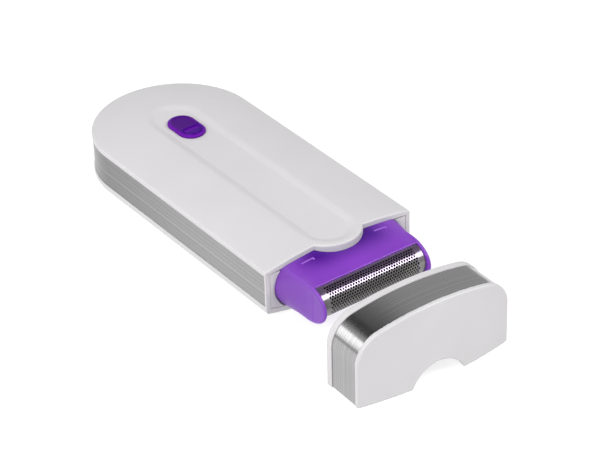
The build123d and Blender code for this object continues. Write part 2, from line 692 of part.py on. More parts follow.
carrier_block = bar(
    around(0, CARRIER_HALF), (CARRIER_FRONT_Y, CARRIER_REAR_Y), around(AXIS_Z, CARRIER_HALF_HEIGHT)
)
key_hole = bar(
    around(0, KEY_HALF + KEY_GAP), (CARRIER_REAR_Y - KEY_LENGTH - KEY_GAP, CARRIER_REAR_Y),
    around(AXIS_Z, KEY_HALF + KEY_GAP)
)
with BuildPart() as cutter_carrier:
    add(carrier_block)
    fillet(cutter_carrier.edges().filter_by(Axis.Y), radius=CARRIER_ROUND)
    with BuildSketch(Plane.XZ.offset(-CARRIER_REAR_Y)):
        with Locations((-SPRING_X, AXIS_Z), (SPRING_X, AXIS_Z)):
            Circle(SPRING_SEAT_RADIUS)
    extrude(amount=SPRING_SEAT_DEPTH, mode=Mode.SUBTRACT)
    add(key_hole, mode=Mode.SUBTRACT)
save(cutter_carrier, "cutter_carrier")

bridge_block = bar(
    around(0, BRIDGE_HALF), (BRIDGE_FRONT_Y, BRIDGE_REAR_Y), (ROD_LOW_Z - ROD_WALL, ROD_HIGH_Z + ROD_WALL)
)
bridge_neck = bar(
    around(0, NECK_HALF), (CROSSBAR_FRONT_Y + PAST, BRIDGE_FRONT_Y + PAST), around(AXIS_Z, NECK_HALF_HEIGHT)
)
crossbar = bar(
    around(0, BRIDGE_HALF), (CROSSBAR_FRONT_Y, CROSSBAR_FRONT_Y + CROSSBAR_THICKNESS),
    around(AXIS_Z, CROSSBAR_HALF_HEIGHT)
)
carrier_key = bar(
    around(0, KEY_HALF), (CARRIER_REAR_Y - KEY_LENGTH, CROSSBAR_FRONT_Y + PAST), around(AXIS_Z, KEY_HALF)
)


def rod_section(radius):
    with Locations((ROD_Y, ROD_LOW_Z), (ROD_Y, ROD_HIGH_Z)):
        Circle(radius)


with BuildPart() as drive_bridge:
    add(bridge_block)
    fillet(drive_bridge.edges().filter_by(Axis.Y), radius=BRIDGE_ROUND)
    add(bridge_neck)
    add(crossbar)
    add(carrier_key)
    with BuildSketch(Plane.YZ):
        rod_section(ROD_RADIUS + RUNNING_GAP)
    extrude(amount=ROD_REACH + PAST, both=True, mode=Mode.SUBTRACT)
    # slot for the drive pin: as wide as the pin, its orbit and the bridge's own stroke
    with BuildSketch(Plane.XZ.offset(-BRIDGE_REAR_Y)):
        with Locations((0, AXIS_Z)):
            RectangleRounded(
                2 * (PIN_RADIUS + 2 * ORBIT + PIN_SIDE_GAP), 2 * (PIN_RADIUS + ORBIT + PIN_END_GAP),
                PIN_SLOT_CORNER)
    extrude(amount=PIN_SLOT_DEPTH, mode=Mode.SUBTRACT)
save(drive_bridge, "drive_bridge")


def coil_spring(x):
    """Small compression spring between the bridge's crossbar and the cutter carrier."""
    with BuildPart() as spring:
        with BuildLine() as path:
            Helix(pitch=SPRING_PITCH, height=SPRING_LENGTH, radius=SPRING_RADIUS,
                  center=(x, SPRING_FRONT_Y, AXIS_Z), direction=(0, 1, 0))
        with BuildSketch(Plane(origin=path.line @ 0, z_dir=path.line % 0)):
            Circle(SPRING_WIRE_RADIUS)
        sweep(path=path.line, is_frenet=True)
    return spring.part


with BuildPart() as cutter_springs:
    for spring_x in (-SPRING_X, SPRING_X):
        add(coil_spring(spring_x), mode=Mode.ADD)
save(cutter_springs, "cutter_springs")

# ---------------------------------------------------------------- drive frame and rods
motor_cylinder = Pos(0, (MOTOR_FRONT_Y + MOTOR_REAR_Y) / 2, AXIS_Z) * Cylinder(
    MOTOR_RADIUS + SNUG, MOTOR_LENGTH, rotation=(90, 0, 0), mode=Mode.PRIVATE
)
motor_space = motor_cylinder & bar(
    around(0, HALF_WIDTH), (MOTOR_FRONT_Y, MOTOR_REAR_Y), (AXIS_Z - MOTOR_FLAT, ABOVE)
)
drive_plate = bar(
    around(0, DRIVE_PLATE_HALF), (BRIDGE_FRONT_Y, MOTOR_REAR_Y), (DRIVE_PLATE_LOW_Z, DRIVE_PLATE_TOP_Z)
)

with BuildPart() as drive_frame:
    add(drive_plate)
    for side in (-1, 1):
        add(bar((side * POST_INNER_X, side * ROD_REACH), (BRIDGE_FRONT_Y, BRIDGE_REAR_Y),
                (POST_LOW_Z, ROD_HIGH_Z + ROD_WALL)))
    for saddle_y in SADDLE_PLACES:
        add(bar(around(0, SADDLE_HALF), (saddle_y, saddle_y + SADDLE_LENGTH), (DRIVE_PLATE_LOW_Z, AXIS_Z)))
    add(motor_space, mode=Mode.SUBTRACT)
    with BuildSketch(Plane.YZ):
        rod_section(ROD_RADIUS)
    extrude(amount=ROD_REACH + PAST, both=True, mode=Mode.SUBTRACT)
save(drive_frame, "drive_frame")

with BuildPart() as guide_rods:
    with BuildSketch(Plane.YZ):
        rod_section(ROD_RADIUS)
    extrude(amount=ROD_REACH, both=True)
save(guide_rods, "guide_rods")


# ---------------------------------------------------------------- motor
def motor_section(inset):
    with Locations((0, AXIS_Z)):
        Circle(MOTOR_RADIUS - inset)
        Rectangle(2 * MOTOR_RADIUS, 2 * (MOTOR_FLAT - inset), mode=Mode.INTERSECT)


def ring(inner, outer, front_y, rear_y, mode=Mode.ADD):
    """A bush, disc or boss around the motor's axis."""
    with BuildSketch(Plane.XZ.offset(-rear_y)) as disc:
        with Locations((0, AXIS_Z)):
            Circle(outer)
            if inner:
                Circle(inner, mode=Mode.SUBTRACT)
    extrude(disc.sketch, amount=rear_y - front_y, mode=mode)


with BuildPart() as motor_can:
    with BuildSketch(Plane.XZ.offset(-MOTOR_REAR_Y)):
        motor_section(0)
    extrude(amount=MOTOR_LENGTH)
    with BuildSketch(Plane.XZ.offset(-MOTOR_REAR_Y)):
        motor_section(MOTOR_WALL)
    extrude(amount=MOTOR_LENGTH - MOTOR_WALL, mode=Mode.SUBTRACT)
    ring(0, BUSH_RADIUS + MOTOR_WALL, MOTOR_FRONT_Y - NOSE_LENGTH, MOTOR_FRONT_Y + MOTOR_WALL)
    ring(0, BUSH_RADIUS, MOTOR_FRONT_Y - NOSE_LENGTH - PAST, MOTOR_FRONT_Y + MOTOR_WALL + PAST,
         mode=Mode.SUBTRACT)
save(motor_can, "motor_can")

with BuildPart() as motor_end_cap:
    with BuildSketch(Plane.XZ.offset(-MOTOR_REAR_Y - END_CAP_THICKNESS)):
        motor_section(0)
    extrude(amount=END_CAP_THICKNESS)
    with BuildSketch(Plane.XZ.offset(-MOTOR_REAR_Y)):
        motor_section(MOTOR_WALL + SNUG)
    extrude(amount=END_CAP_SPIGOT)
    ring(0, BUSH_RADIUS, MOTOR_REAR_Y - END_CAP_SPIGOT - PAST, MOTOR_REAR_Y + END_CAP_THICKNESS + PAST,
         mode=Mode.SUBTRACT)
save(motor_end_cap, "motor_end_cap")

with BuildPart() as motor_bushes:
    ring(SHAFT_RADIUS + RUNNING_GAP, BUSH_RADIUS, MOTOR_FRONT_Y - NOSE_LENGTH,
         MOTOR_FRONT_Y - NOSE_LENGTH + BUSH_LENGTH)
    ring(SHAFT_RADIUS + RUNNING_GAP, BUSH_RADIUS, MOTOR_REAR_Y - END_CAP_SPIGOT,
         MOTOR_REAR_Y + END_CAP_THICKNESS)
save(motor_bushes, "motor_bushes")

magnet_gap = bar(
    around(0, HALF_WIDTH), (MOTOR_FRONT_Y, MOTOR_REAR_Y), around(AXIS_Z, MAGNET_HALF_HEIGHT)
)
with BuildPart() as motor_magnets:
    ring(MAGNET_BORE, MOTOR_RADIUS - MOTOR_WALL, MAGNET_FRONT_Y, MAGNET_REAR_Y)
    add(magnet_gap, mode=Mode.INTERSECT)
save(motor_magnets, "motor_magnets")

with BuildPart() as motor_shaft:
    ring(0, SHAFT_RADIUS, SHAFT_FRONT_Y, SHAFT_REAR_Y)
save(motor_shaft, "motor_shaft")

with BuildPart() as rotor_core:
    ring(SHAFT_RADIUS, CORE_HUB_RADIUS, CORE_FRONT_Y, CORE_REAR_Y)
    with BuildSketch(Plane.XZ.offset(-CORE_REAR_Y)):
        with Locations((0, AXIS_Z)):
            with PolarLocations(0, POLE_COUNT, start_angle=90):
                with Locations((POLE_X, 0)):
                    Rectangle(*POLE_SIZE)
            with PolarLocations(0, POLE_COUNT, start_angle=90):
                with Locations((SHOE_X, 0)):
                    Rectangle(*SHOE_SIZE)
            Circle(CORE_RADIUS, mode=Mode.INTERSECT)
            Circle(SHAFT_RADIUS, mode=Mode.SUBTRACT)
    extrude(amount=CORE_REAR_Y - CORE_FRONT_Y)
save(rotor_core, "rotor_core")

with BuildPart() as rotor_windings:
    with BuildSketch(Plane.XZ.offset(-CORE_REAR_Y - WINDING_OVERHANG)):
        with Locations((0, AXIS_Z)):
            with PolarLocations(0, POLE_COUNT, start_angle=90):
                with Locations((WINDING_X, WINDING_SIDE), (WINDING_X, -WINDING_SIDE)):
                    Rectangle(*WINDING_SIZE)
    extrude(amount=CORE_REAR_Y - CORE_FRONT_Y + 2 * WINDING_OVERHANG)
save(rotor_windings, "rotor_windings")

with BuildPart() as commutator:
    ring(SHAFT_RADIUS, COMMUTATOR_RADIUS, COMMUTATOR_FRONT_Y, COMMUTATOR_REAR_Y)
    with BuildSketch(Plane.XZ.offset(-MOTOR_REAR_Y)):
        with Locations((0, AXIS_Z)):
            with PolarLocations(COMMUTATOR_RADIUS, POLE_COUNT, start_angle=30):
                Rectangle(*COMMUTATOR_SLOT)
    extrude(amount=MOTOR_REAR_Y - COMMUTATOR_FRONT_Y + PAST, mode=Mode.SUBTRACT)
save(commutator, "commutator")

with BuildPart() as motor_brushes:
    brush_rear_y = MOTOR_REAR_Y - END_CAP_SPIGOT
    brush_height = around(AXIS_Z, BRUSH_HALF_HEIGHT)
    for side in (-1, 1):
        inner_x = side * BRUSH_INNER_X
        add(bar((inner_x, inner_x + side * BRUSH_THICKNESS), (BRUSH_FRONT_Y, brush_rear_y), brush_height))
        add(bar((inner_x, side * BRUSH_OUTER_X), (brush_rear_y - BRUSH_THICKNESS, brush_rear_y),
                brush_height))
save(motor_brushes, "motor_brushes")

with BuildPart() as drive_eccentric:
    ring(SHAFT_RADIUS, ECCENTRIC_RADIUS, SHAFT_FRONT_Y, ECCENTRIC_REAR_Y)
    ring(0, ECCENTRIC_RADIUS, ECCENTRIC_FRONT_Y, SHAFT_FRONT_Y)
    with BuildSketch(Plane.XZ.offset(-ECCENTRIC_FRONT_Y)):
        with Locations((0, AXIS_Z + ORBIT)):
            Circle(PIN_RADIUS)
    extrude(amount=PIN_LENGTH)
save(drive_eccentric, "drive_eccentric")

# ---------------------------------------------------------------- power and control
with BuildPart() as battery_cell:
    with BuildSketch(Plane.XZ.offset(-CELL_REAR_Y)):
        with Locations((CELL_X, CELL_Z)):
            Circle(CELL_RADIUS)
    extrude(amount=CELL_REAR_Y - CELL_FRONT_Y)
    fillet(battery_cell.edges().filter_by(GeomType.CIRCLE), radius=CELL_ROUND)
save(battery_cell, "battery_cell")

with BuildPart() as battery_tabs:
    for tab_y in (CELL_FRONT_Y - TAB_THICKNESS, CELL_REAR_Y):
        add(bar((TAB_OUTER_X, TAB_INNER_X), (tab_y, tab_y + TAB_THICKNESS),
                (BOARD_TOP_Z, BOARD_TOP_Z + TAB_HEIGHT)))
save(battery_tabs, "battery_tabs")

board_plate = bar(
    around(BOARD_X, BOARD_WIDTH / 2), (BOARD_FRONT_Y, BOARD_REAR_Y),
    (BOARD_TOP_Z - BOARD_THICKNESS, BOARD_TOP_Z)
)
board_tail = bar(
    around(0, BOARD_TAIL_WIDTH / 2), (BOARD_REAR_Y - PAST, BOARD_TAIL_Y),
    (BOARD_TOP_Z - BOARD_THICKNESS, BOARD_TOP_Z)
)
with BuildPart() as main_board:
    add(board_plate)
    add(board_tail)
save(main_board, "main_board")

with BuildPart() as board_parts:
    for across, along, height in BOARD_BLOCKS:
        add(bar(across, along, (BOARD_TOP_Z, BOARD_TOP_Z + height)))
    with BuildSketch(Plane.XY.offset(BOARD_TOP_Z)):
        with Locations(CAPACITOR_PLACE):
            Circle(CAPACITOR_RADIUS)
    extrude(amount=CAPACITOR_HEIGHT)
    for resistor_y in RESISTOR_PLACES:
        add(bar(RESISTOR_X, (resistor_y, resistor_y + RESISTOR_WIDTH),
                (BOARD_TOP_Z, BOARD_TOP_Z + RESISTOR_HEIGHT)))
save(board_parts, "board_parts")

housing_block = bar(
    around(0, HOUSING_HALF_WIDTH), around(HOUSING_Y, HOUSING_HALF_LENGTH), (BOARD_TOP_Z, HOUSING_TOP_Z)
)
housing_hollow = bar(
    around(0, HOUSING_HALF_WIDTH - HOUSING_SIDE_WALL),
    around(HOUSING_Y, HOUSING_HALF_LENGTH - HOUSING_END_WALL),
    (BOARD_TOP_Z + HOUSING_END_WALL, HOUSING_TOP_Z - HOUSING_SIDE_WALL)
)
lever_window = bar(
    around(0, HOUSING_WINDOW[0]), around(HOUSING_Y, HOUSING_WINDOW[1]), (LEVER_LOW_Z, HOUSING_TOP_Z + PAST)
)
with BuildPart() as switch_housing:
    add(housing_block)
    add(housing_hollow, mode=Mode.SUBTRACT)
    add(lever_window, mode=Mode.SUBTRACT)
save(switch_housing, "switch_housing")

socket_shell = bar(
    around(0, SOCKET_HALF), (SOCKET_FRONT_Y, SOCKET_REAR_Y), (BOARD_TOP_Z, SOCKET_TOP_Z)
)
socket_mouth = bar(
    around(0, SOCKET_HALF - SOCKET_WALL), (BOARD_TAIL_Y, SOCKET_REAR_Y + PAST),
    (BOARD_TOP_Z + SOCKET_WALL, SOCKET_TOP_Z - SOCKET_WALL)
)
contact_tongue = bar(
    around(0, CONTACT_HALF), (BOARD_TAIL_Y - SOCKET_WALL, CONTACT_REAR_Y),
    (CONTACT_LOW_Z, CONTACT_LOW_Z + CONTACT_THICKNESS)
)
with BuildPart() as charge_socket:
    add(socket_shell)
    fillet(charge_socket.edges().filter_by(Axis.Y), radius=SOCKET_ROUND)
    add(socket_mouth, mode=Mode.SUBTRACT)
    add(contact_tongue)
save(charge_socket, "charge_socket")


def lead(x):
    """One wire from a motor brush to the board."""
    with BuildPart() as wire:
        with BuildLine(Plane.YZ.offset(x)) as route:
            FilletPolyline(
                (MOTOR_REAR_Y + END_CAP_THICKNESS, LEAD_Z), (LEAD_TURN_Y, LEAD_Z), (LEAD_TURN_Y, BOARD_TOP_Z),
                radius=LEAD_BEND)
        with BuildSketch(Plane(origin=route.line @ 0, z_dir=route.line % 0)):
            Circle(LEAD_RADIUS)
        sweep(path=route.line)
    return wire.part


with BuildPart() as motor_leads:
    for lead_x in LEAD_PLACES:
        add(lead(lead_x))
save(motor_leads, "motor_leads")

with BuildPart() as cover_screws:
    with BuildSketch(Plane.XY.offset(SCREW_SEAT_Z - SCREW_HEAD_HEIGHT)):
        with Locations(*SCREW_PLACES):
            Circle(SCREW_HEAD_RADIUS)
    extrude(amount=SCREW_HEAD_HEIGHT)
    with BuildSketch(Plane.XY.offset(SCREW_SEAT_Z)):
        with Locations(*SCREW_PLACES):
            Circle(SCREW_RADIUS)
    extrude(amount=SCREW_LENGTH)
    with BuildSketch(Plane.XY.offset(SCREW_SEAT_Z - SCREW_HEAD_HEIGHT)):
        with Locations(*SCREW_PLACES):
            Rectangle(*SCREW_CROSS)
            Rectangle(*SCREW_CROSS, rotation=90)
    extrude(amount=SCREW_CROSS_DEPTH, mode=Mode.SUBTRACT)
save(cover_screws, "cover_screws")

# ---------------------------------------------------------------- switch
button_stem = bar(
    around(0, STEM_HALF_WIDTH), around(BUTTON_Y, STEM_HALF_LENGTH), (STEM_LOW_Z, BUTTON_LOW_Z + GAP)
)
lever_socket = bar(
    around(0, LEVER_SOCKET_HALF), around(BUTTON_Y, LEVER_SOCKET_HALF),
    (STEM_LOW_Z - PAST, LEVER_TOP_Z + GAP)
)
with BuildPart() as switch_button:
    with BuildSketch(Plane.XY.offset(BUTTON_LOW_Z)):
        with Locations((0, BUTTON_Y)):
            SlotOverall(BUTTON_LENGTH, BUTTON_WIDTH, rotation=90)
    extrude(amount=BUTTON_RIM_HEIGHT)
    fillet(switch_button.faces().sort_by(Axis.Z)[-1].edges(), radius=BUTTON_ROUND)
    with BuildSketch(Plane.XY.offset(BUTTON_LOW_Z + BUTTON_RIM_HEIGHT)):
        with Locations((0, BUTTON_Y)):
            SlotOverall(BUTTON_LENGTH - BUTTON_STEP, BUTTON_WIDTH - BUTTON_STEP, rotation=90)
    extrude(amount=BUTTON_PAD_HEIGHT)
    fillet(switch_button.faces().sort_by(Axis.Z)[-1].edges(), radius=BUTTON_ROUND)
    add(button_stem)
    add(lever_socket, mode=Mode.SUBTRACT)
save(switch_button, "switch_button")

slider_block = bar(
    around(0, SLIDER_HALF_WIDTH), around(BUTTON_Y, SLIDER_HALF_LENGTH), (SLIDER_LOW_Z, SLIDER_TOP_Z)
)
slider_lever = bar(around(0, LEVER_HALF), around(BUTTON_Y, LEVER_HALF), (LEVER_LOW_Z, LEVER_TOP_Z))
with BuildPart() as switch_slider:
    add(slider_block)
    add(slider_lever)
save(switch_slider, "switch_slider")

# ---------------------------------------------------------------- cap
# The cap stands on its mouth.  CAP_PLAN is the floor below it: local X runs across the cap,
# local Y from its upper plate to its lower one.  CAP_FRONT looks at the upper plate.
CAP_PLAN = Plane(origin=(CAP_X, CAP_FACE_Y, 0)).rotated((0, 0, CAP_YAW))
CAP_FRONT = Plane(origin=CAP_PLAN.origin, x_dir=CAP_PLAN.x_dir, z_dir=-CAP_PLAN.y_dir)


def arch(inset):
    """The cap's outline seen from its upper plate, drawn in the current sketch."""
    half = HALF_WIDTH - inset
    top = CAP_HEIGHT - inset
    radius = CAP_TOP_RADIUS - inset
    with BuildLine() as outline:
        Line((-half, 0), (half, 0))
        for side in (-1, 1):
            Line((side * half, 0), (side * half, top - rise(half, radius)))
        ThreePointArc((-half, top - rise(half, radius)), (0, top), (half, top - rise(half, radius)))
    arch_face = make_face(outline.edges())
    corners = arch_face.vertices().group_by(Axis.Y)[-1]
    fillet(corners, radius=CAP_CORNER_RADIUS - inset)


def cap_layer(half, near, near_crown, far, far_crown):
    """Plan section of the cap between two crowned plates, drawn in the current sketch."""
    with BuildLine() as outline:
        for side in (-1, 1):
            Line((side * half, near), (side * half, far))
        for edge, crown in ((near, -near_crown), (far, far_crown)):
            ThreePointArc((-half, edge), (0, edge + crown), (half, edge))
    make_face(outline.edges())


def cap_form(inset, wall):
    """The cap's closed form: crowned at its mouth, flat at its closed end."""
    half = HALF_WIDTH - inset
    drop = wall * (wall / WIDTH)
    near_crown = CAP_UPPER_CROWN * (half / HALF_WIDTH) ** 2 - drop
    far_crown = CAP_LOWER_CROWN * (half / HALF_WIDTH) ** 2 - drop
    near = wall - (CAP_UPPER_CROWN - near_crown)
    far = CAP_THICKNESS - wall + (CAP_LOWER_CROWN - far_crown)
    with BuildPart() as form:
        with BuildSketch(CAP_PLAN):
            cap_layer(half, near, near_crown, far, far_crown)
        with BuildSketch(CAP_PLAN.offset(CAP_HEIGHT)):
            cap_layer(half, wall, CAP_END_CROWN, CAP_THICKNESS - wall, CAP_END_CROWN)
        loft(ruled=True)
        with BuildSketch(CAP_FRONT.offset(CAP_BEYOND)):
            arch(inset)
        extrude(amount=-CAP_THICKNESS - 2 * CAP_BEYOND, mode=Mode.INTERSECT)
    return form.part


def cap_slab(inset, near, far):
    """The cap's outline as a flat-faced block between two depths."""
    with BuildPart() as slab:
        with BuildSketch(CAP_FRONT.offset(-near)):
            arch(inset)
        extrude(amount=near - far)
    return slab.part


cap_skin = cap_form(0, 0)
cap_hollow = cap_form(CAP_WALL, WALL)
cap_near_half = cap_slab(-CAP_MARGIN, -CAP_BEYOND, CAP_RIM_DEPTH)
band_block = cap_slab(0, CAP_RIM_DEPTH, CAP_BAND_DEPTH)
band_core = cap_slab(BAND_THICKNESS, CAP_RIM_DEPTH - PAST, CAP_BAND_DEPTH + PAST)

with BuildPart() as cap_top_plate:
    add(cap_skin)
    add(cap_near_half, mode=Mode.INTERSECT)
    add(cap_hollow, mode=Mode.SUBTRACT)
    with BuildSketch(CAP_FRONT.offset(CAP_BEYOND)):
        with Locations((0, NOTCH_DEPTH - NOTCH_RADIUS)):
            Circle(NOTCH_RADIUS)
    extrude(amount=-(CAP_BEYOND + CAP_RIM_DEPTH + PAST), mode=Mode.SUBTRACT)
save(cap_top_plate, "cap_top_plate")

with BuildPart() as cap_band:
    add(band_block)
    add(band_core, mode=Mode.SUBTRACT)
    with BuildSketch(CAP_PLAN):
        Rectangle(3 * WIDTH, 3 * WIDTH)
    extrude(amount=CAP_BAND_LIFT, mode=Mode.SUBTRACT)
save(cap_band, "cap_band")

with BuildPart() as cap_shell:
    add(cap_skin)
    add(band_block, mode=Mode.SUBTRACT)
    add(band_core)
    add(cap_near_half, mode=Mode.SUBTRACT)
    add(cap_hollow, mode=Mode.SUBTRACT)
save(cap_shell, "cap_shell")

with BuildPart() as cap_grips:
    with BuildSketch(CAP_PLAN.offset(GRIP_LOW_Z)):
        for side in (-1, 1):
            with Locations((side * (INNER_HALF - GRIP_THICKNESS / 2), CAP_THICKNESS / 2)):
                Rectangle(GRIP_THICKNESS, GRIP_WIDTH)
            rib_x = side * (INNER_HALF - GRIP_THICKNESS)
            with Locations(*[(rib_x, CAP_THICKNESS / 2 + place) for place in GRIP_RIB_PLACES]):
                Circle(GRIP_RIB_RADIUS)
    extrude(amount=GRIP_HEIGHT)
save(cap_grips, "cap_grips")
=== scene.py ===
import json
import math
import bmesh
import bpy
import numpy as np
from mathutils import Matrix, Vector


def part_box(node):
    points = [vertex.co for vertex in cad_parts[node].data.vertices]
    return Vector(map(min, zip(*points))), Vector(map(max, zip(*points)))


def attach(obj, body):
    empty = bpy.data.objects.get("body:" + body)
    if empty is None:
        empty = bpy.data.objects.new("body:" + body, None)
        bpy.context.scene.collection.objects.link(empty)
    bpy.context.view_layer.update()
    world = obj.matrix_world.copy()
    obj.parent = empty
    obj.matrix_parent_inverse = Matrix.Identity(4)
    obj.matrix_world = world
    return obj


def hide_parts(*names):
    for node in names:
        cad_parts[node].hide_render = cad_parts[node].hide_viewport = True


# Lengths in this file are millimetres in the row frame unless a name ends in _m.
MM = 0.001

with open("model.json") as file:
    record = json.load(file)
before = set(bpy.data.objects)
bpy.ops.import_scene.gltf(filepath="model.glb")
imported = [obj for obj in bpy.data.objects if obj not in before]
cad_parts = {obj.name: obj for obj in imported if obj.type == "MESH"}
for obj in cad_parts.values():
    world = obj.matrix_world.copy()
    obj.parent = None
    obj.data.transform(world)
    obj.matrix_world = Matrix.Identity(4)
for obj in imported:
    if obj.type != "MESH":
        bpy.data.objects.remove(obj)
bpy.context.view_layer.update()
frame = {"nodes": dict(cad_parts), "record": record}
NODES = frame["nodes"]


def cad_limits(node):
    """Lowest and highest corner of a CAD node, in millimetres."""
    low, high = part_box(node)
    return Vector(low) / MM, Vector(high) / MM


# ------------------------------------------------------------------ sizes taken from the frame
cover_low, cover_high = cad_limits("top_cover")
band_low, band_high = cad_limits("side_band")
foil_low, foil_high = cad_limits("foil_sheet")
button_low, button_high = cad_limits("switch_button")

HALF_WIDTH = cover_high.x
TAIL_Y = cover_high.y - HALF_WIDTH  # centre of the round tail
TONGUE_TIP_Y = cover_low.y
FRONT_Y = cad_limits("front_bezel")[0].y
BAND_LOW_Z = band_low.z
BAND_HIGH_Z = band_high.z
TOP_Z = cover_high.z
CROWN = 3.0  # rise of the top from its long edges to the middle
BELLY = 3.83  # fall of the underside, which is flat in the middle
LOWER_EDGE_Z = 3.5
WALL = 1.7
GAP = 0.15  # between the covers' skin and what slides inside it
EDGE_ROUND = 0.6
TONGUE_HALF = 9.8
TONGUE_LENGTH = FRONT_Y - TONGUE_TIP_Y
TONGUE_RADIUS = (TONGUE_HALF**2 + TONGUE_LENGTH**2) / (2 * TONGUE_LENGTH)
TONGUE_Y = TONGUE_TIP_Y + TONGUE_RADIUS
CHANNEL_DROP = 0.95
CHANNEL_INNER = 6.9
CHANNEL_OUTER = 9.6
CHANNEL_EASE = 0.6
AXIS_Z = (foil_low.z + foil_high.z) / 2  # height of the foil's middle


def rise(x, radius):
    """How far a circle of this radius has curved away at x."""
    return radius - np.sqrt(radius**2 - np.minimum(np.abs(x), radius) ** 2)


def arc_radius(half_width, crown):
    """Radius of the arc that climbs by crown over half_width."""
    return (half_width**2 + crown**2) / (2 * crown)


CROWN_RADIUS = arc_radius(HALF_WIDTH, CROWN)
BELLY_RADIUS = arc_radius(HALF_WIDTH, BELLY)


def crown_z(x, depth=0.0):
    """Height of the surface that lies depth below the crowned top."""
    return TOP_Z - depth - rise(x, CROWN_RADIUS - depth)


def belly_z(x, depth):
    """Height of the surface that lies depth above the rounded belly."""
    return LOWER_EDGE_Z - BELLY + depth + rise(x, BELLY_RADIUS - depth)


def eased_ramp(value, start, end, ease):
    """A straight rise from 0 at start to 1 at end, with its two corners rounded over ease."""
    def area(x):
        inside = np.clip(x, start, end) - start
        return inside**2 / (2 * (end - start)) + np.maximum(x - end, 0)
    return (area(value + ease) - area(value - ease)) / (2 * ease)


def smoothstep(value, start, end):
    """An S-shaped rise from 0 at start to 1 at end."""
    t = np.clip((value - start) / (end - start), 0, 1)
    return t * t * (3 - 2 * t)


# ------------------------------------------------------------------ mesh helpers
WELD = 0.002  # points closer than this become one
WELD_CAD = 0.001
SHORTEST_EDGE = 0.001
FLAT_ANGLE = 0.5  # degrees between two CAD faces that count as one flat face
BEVEL_ANGLE = 32  # degrees from which an edge of a CAD copy is rounded


def piece(name, body, nodes, material, points, faces, smooth=True):
    """A mesh object from millimetre points, which stands for CAD nodes of a body."""
    mesh = bpy.data.meshes.new(name)
    mesh.from_pydata([tuple(c * MM for c in p) for p in points], [], faces)
    work = bmesh.new()
    work.from_mesh(mesh)
    bmesh.ops.remove_doubles(work, verts=work.verts, dist=WELD * MM)
    bmesh.ops.dissolve_degenerate(work, edges=work.edges, dist=SHORTEST_EDGE * MM)
    bmesh.ops.recalc_face_normals(work, faces=work.faces)
    work.to_mesh(mesh)
    work.free()
    return place_piece(name, body, nodes, material, mesh, smooth)


def place_piece(name, body, nodes, material, mesh, smooth=True):
    """Puts a finished mesh into the scene in place of its CAD nodes."""
    thing = bpy.data.objects.new(name, mesh)
    bpy.context.scene.collection.objects.link(thing)
    mesh.materials.clear()
    mesh.materials.append(material)
    mesh.polygons.foreach_set("use_smooth", [smooth] * len(mesh.polygons))
    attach(thing, body)
    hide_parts(*nodes)
    return thing


def cad_copy(node, body, material, edge, segments=3):
    """A copy of a CAD node's mesh with its edges rounded."""
    mesh = NODES[node].data.copy()
    work = bmesh.new()
    work.from_mesh(mesh)
    bmesh.ops.remove_doubles(work, verts=work.verts, dist=WELD_CAD * MM)
    bmesh.ops.dissolve_limit(
        work, angle_limit=math.radians(FLAT_ANGLE), verts=work.verts, edges=work.edges)
    work.to_mesh(mesh)
    work.free()
    thing = place_piece(node + "_skin", body, [node], material, mesh)
    bevel = thing.modifiers.new("edges", "BEVEL")
    bevel.width = edge * MM
    bevel.segments = segments
    bevel.limit_method = "ANGLE"
    bevel.angle_limit = math.radians(BEVEL_ANGLE)
    bevel.harden_normals = True


def thicken(thing, thickness):
    """Gives a sheet its thickness, behind its faces."""
    thick = thing.modifiers.new("thickness", "SOLIDIFY")
    thick.thickness = thickness * MM
    thick.offset = -1


def split_edges(thing, angle=40):
    """Shades the two sides of every edge sharper than angle, in degrees, apart."""
    split = thing.modifiers.new("crisp", "EDGE_SPLIT")
    split.split_angle = math.radians(angle)


def grid_faces(rows, columns, start=0):
    """Quads between rows of points that are stored one after another."""
    faces = []
    for i in range(rows - 1):
        for j in range(columns - 1):
            a = start + i * columns + j
            faces.append((a, a + 1, a + columns + 1, a + columns))
    return faces


def net_surface(field, low, high, step):
    """Points and quads where field(x, y, z) is zero, one point in each cell it crosses."""
    axes = [np.arange(a, b + step, step) for a, b in zip(low, high)]
    value = field(*np.meshgrid(*axes, indexing="ij"))
    cells = tuple(n - 1 for n in value.shape)
    total = np.zeros(cells + (3,))
    count = np.zeros(cells)
    crossings = []
    for axis in range(3):
        first = np.take(value, range(value.shape[axis] - 1), axis)
        second = np.take(value, range(1, value.shape[axis]), axis)
        crossed = np.argwhere((first < 0) != (second < 0))
        start = first[tuple(crossed.T)]
        end = second[tuple(crossed.T)]
        place = crossed.astype(float)
        place[:, axis] += start / (start - end)
        others = [a for a in range(3) if a != axis]
        around = []
        for move in ((0, 0), (-1, 0), (-1, -1), (0, -1)):
            cell = crossed.copy()
            cell[:, others[0]] += move[0]
            cell[:, others[1]] += move[1]
            around.append(cell)
            np.add.at(total, tuple(cell.T), place)
            np.add.at(count, tuple(cell.T), 1)
        crossings.append((around, (start < 0) != (axis == 1)))
    used = np.argwhere(count > 0)
    index = -np.ones(cells, int)
    index[tuple(used.T)] = range(len(used))
    points = total[tuple(used.T)] / count[tuple(used.T)][:, None] * step + [a[0] for a in axes]
    faces = []
    for around, forward in crossings:
        quads = np.stack([index[tuple(cell.T)] for cell in around], 1)
        quads[~forward] = quads[~forward][:, ::-1]
        faces += quads.tolist()
    return settle(field, points, step), faces


def gradient(field, points, reach=0.02):
    """The field's slope at each point, from places at reach to either side of it."""
    return np.stack([
        (field(*(points + offset).T) - field(*(points - offset).T)) / (2 * reach)
        for offset in np.eye(3) * reach
    ], 1)


SETTLE_ROUNDS = 3
FLAT_SLOPE = 0.05  # a flatter slope, squared, would throw a point too far
TINY = 1e-9


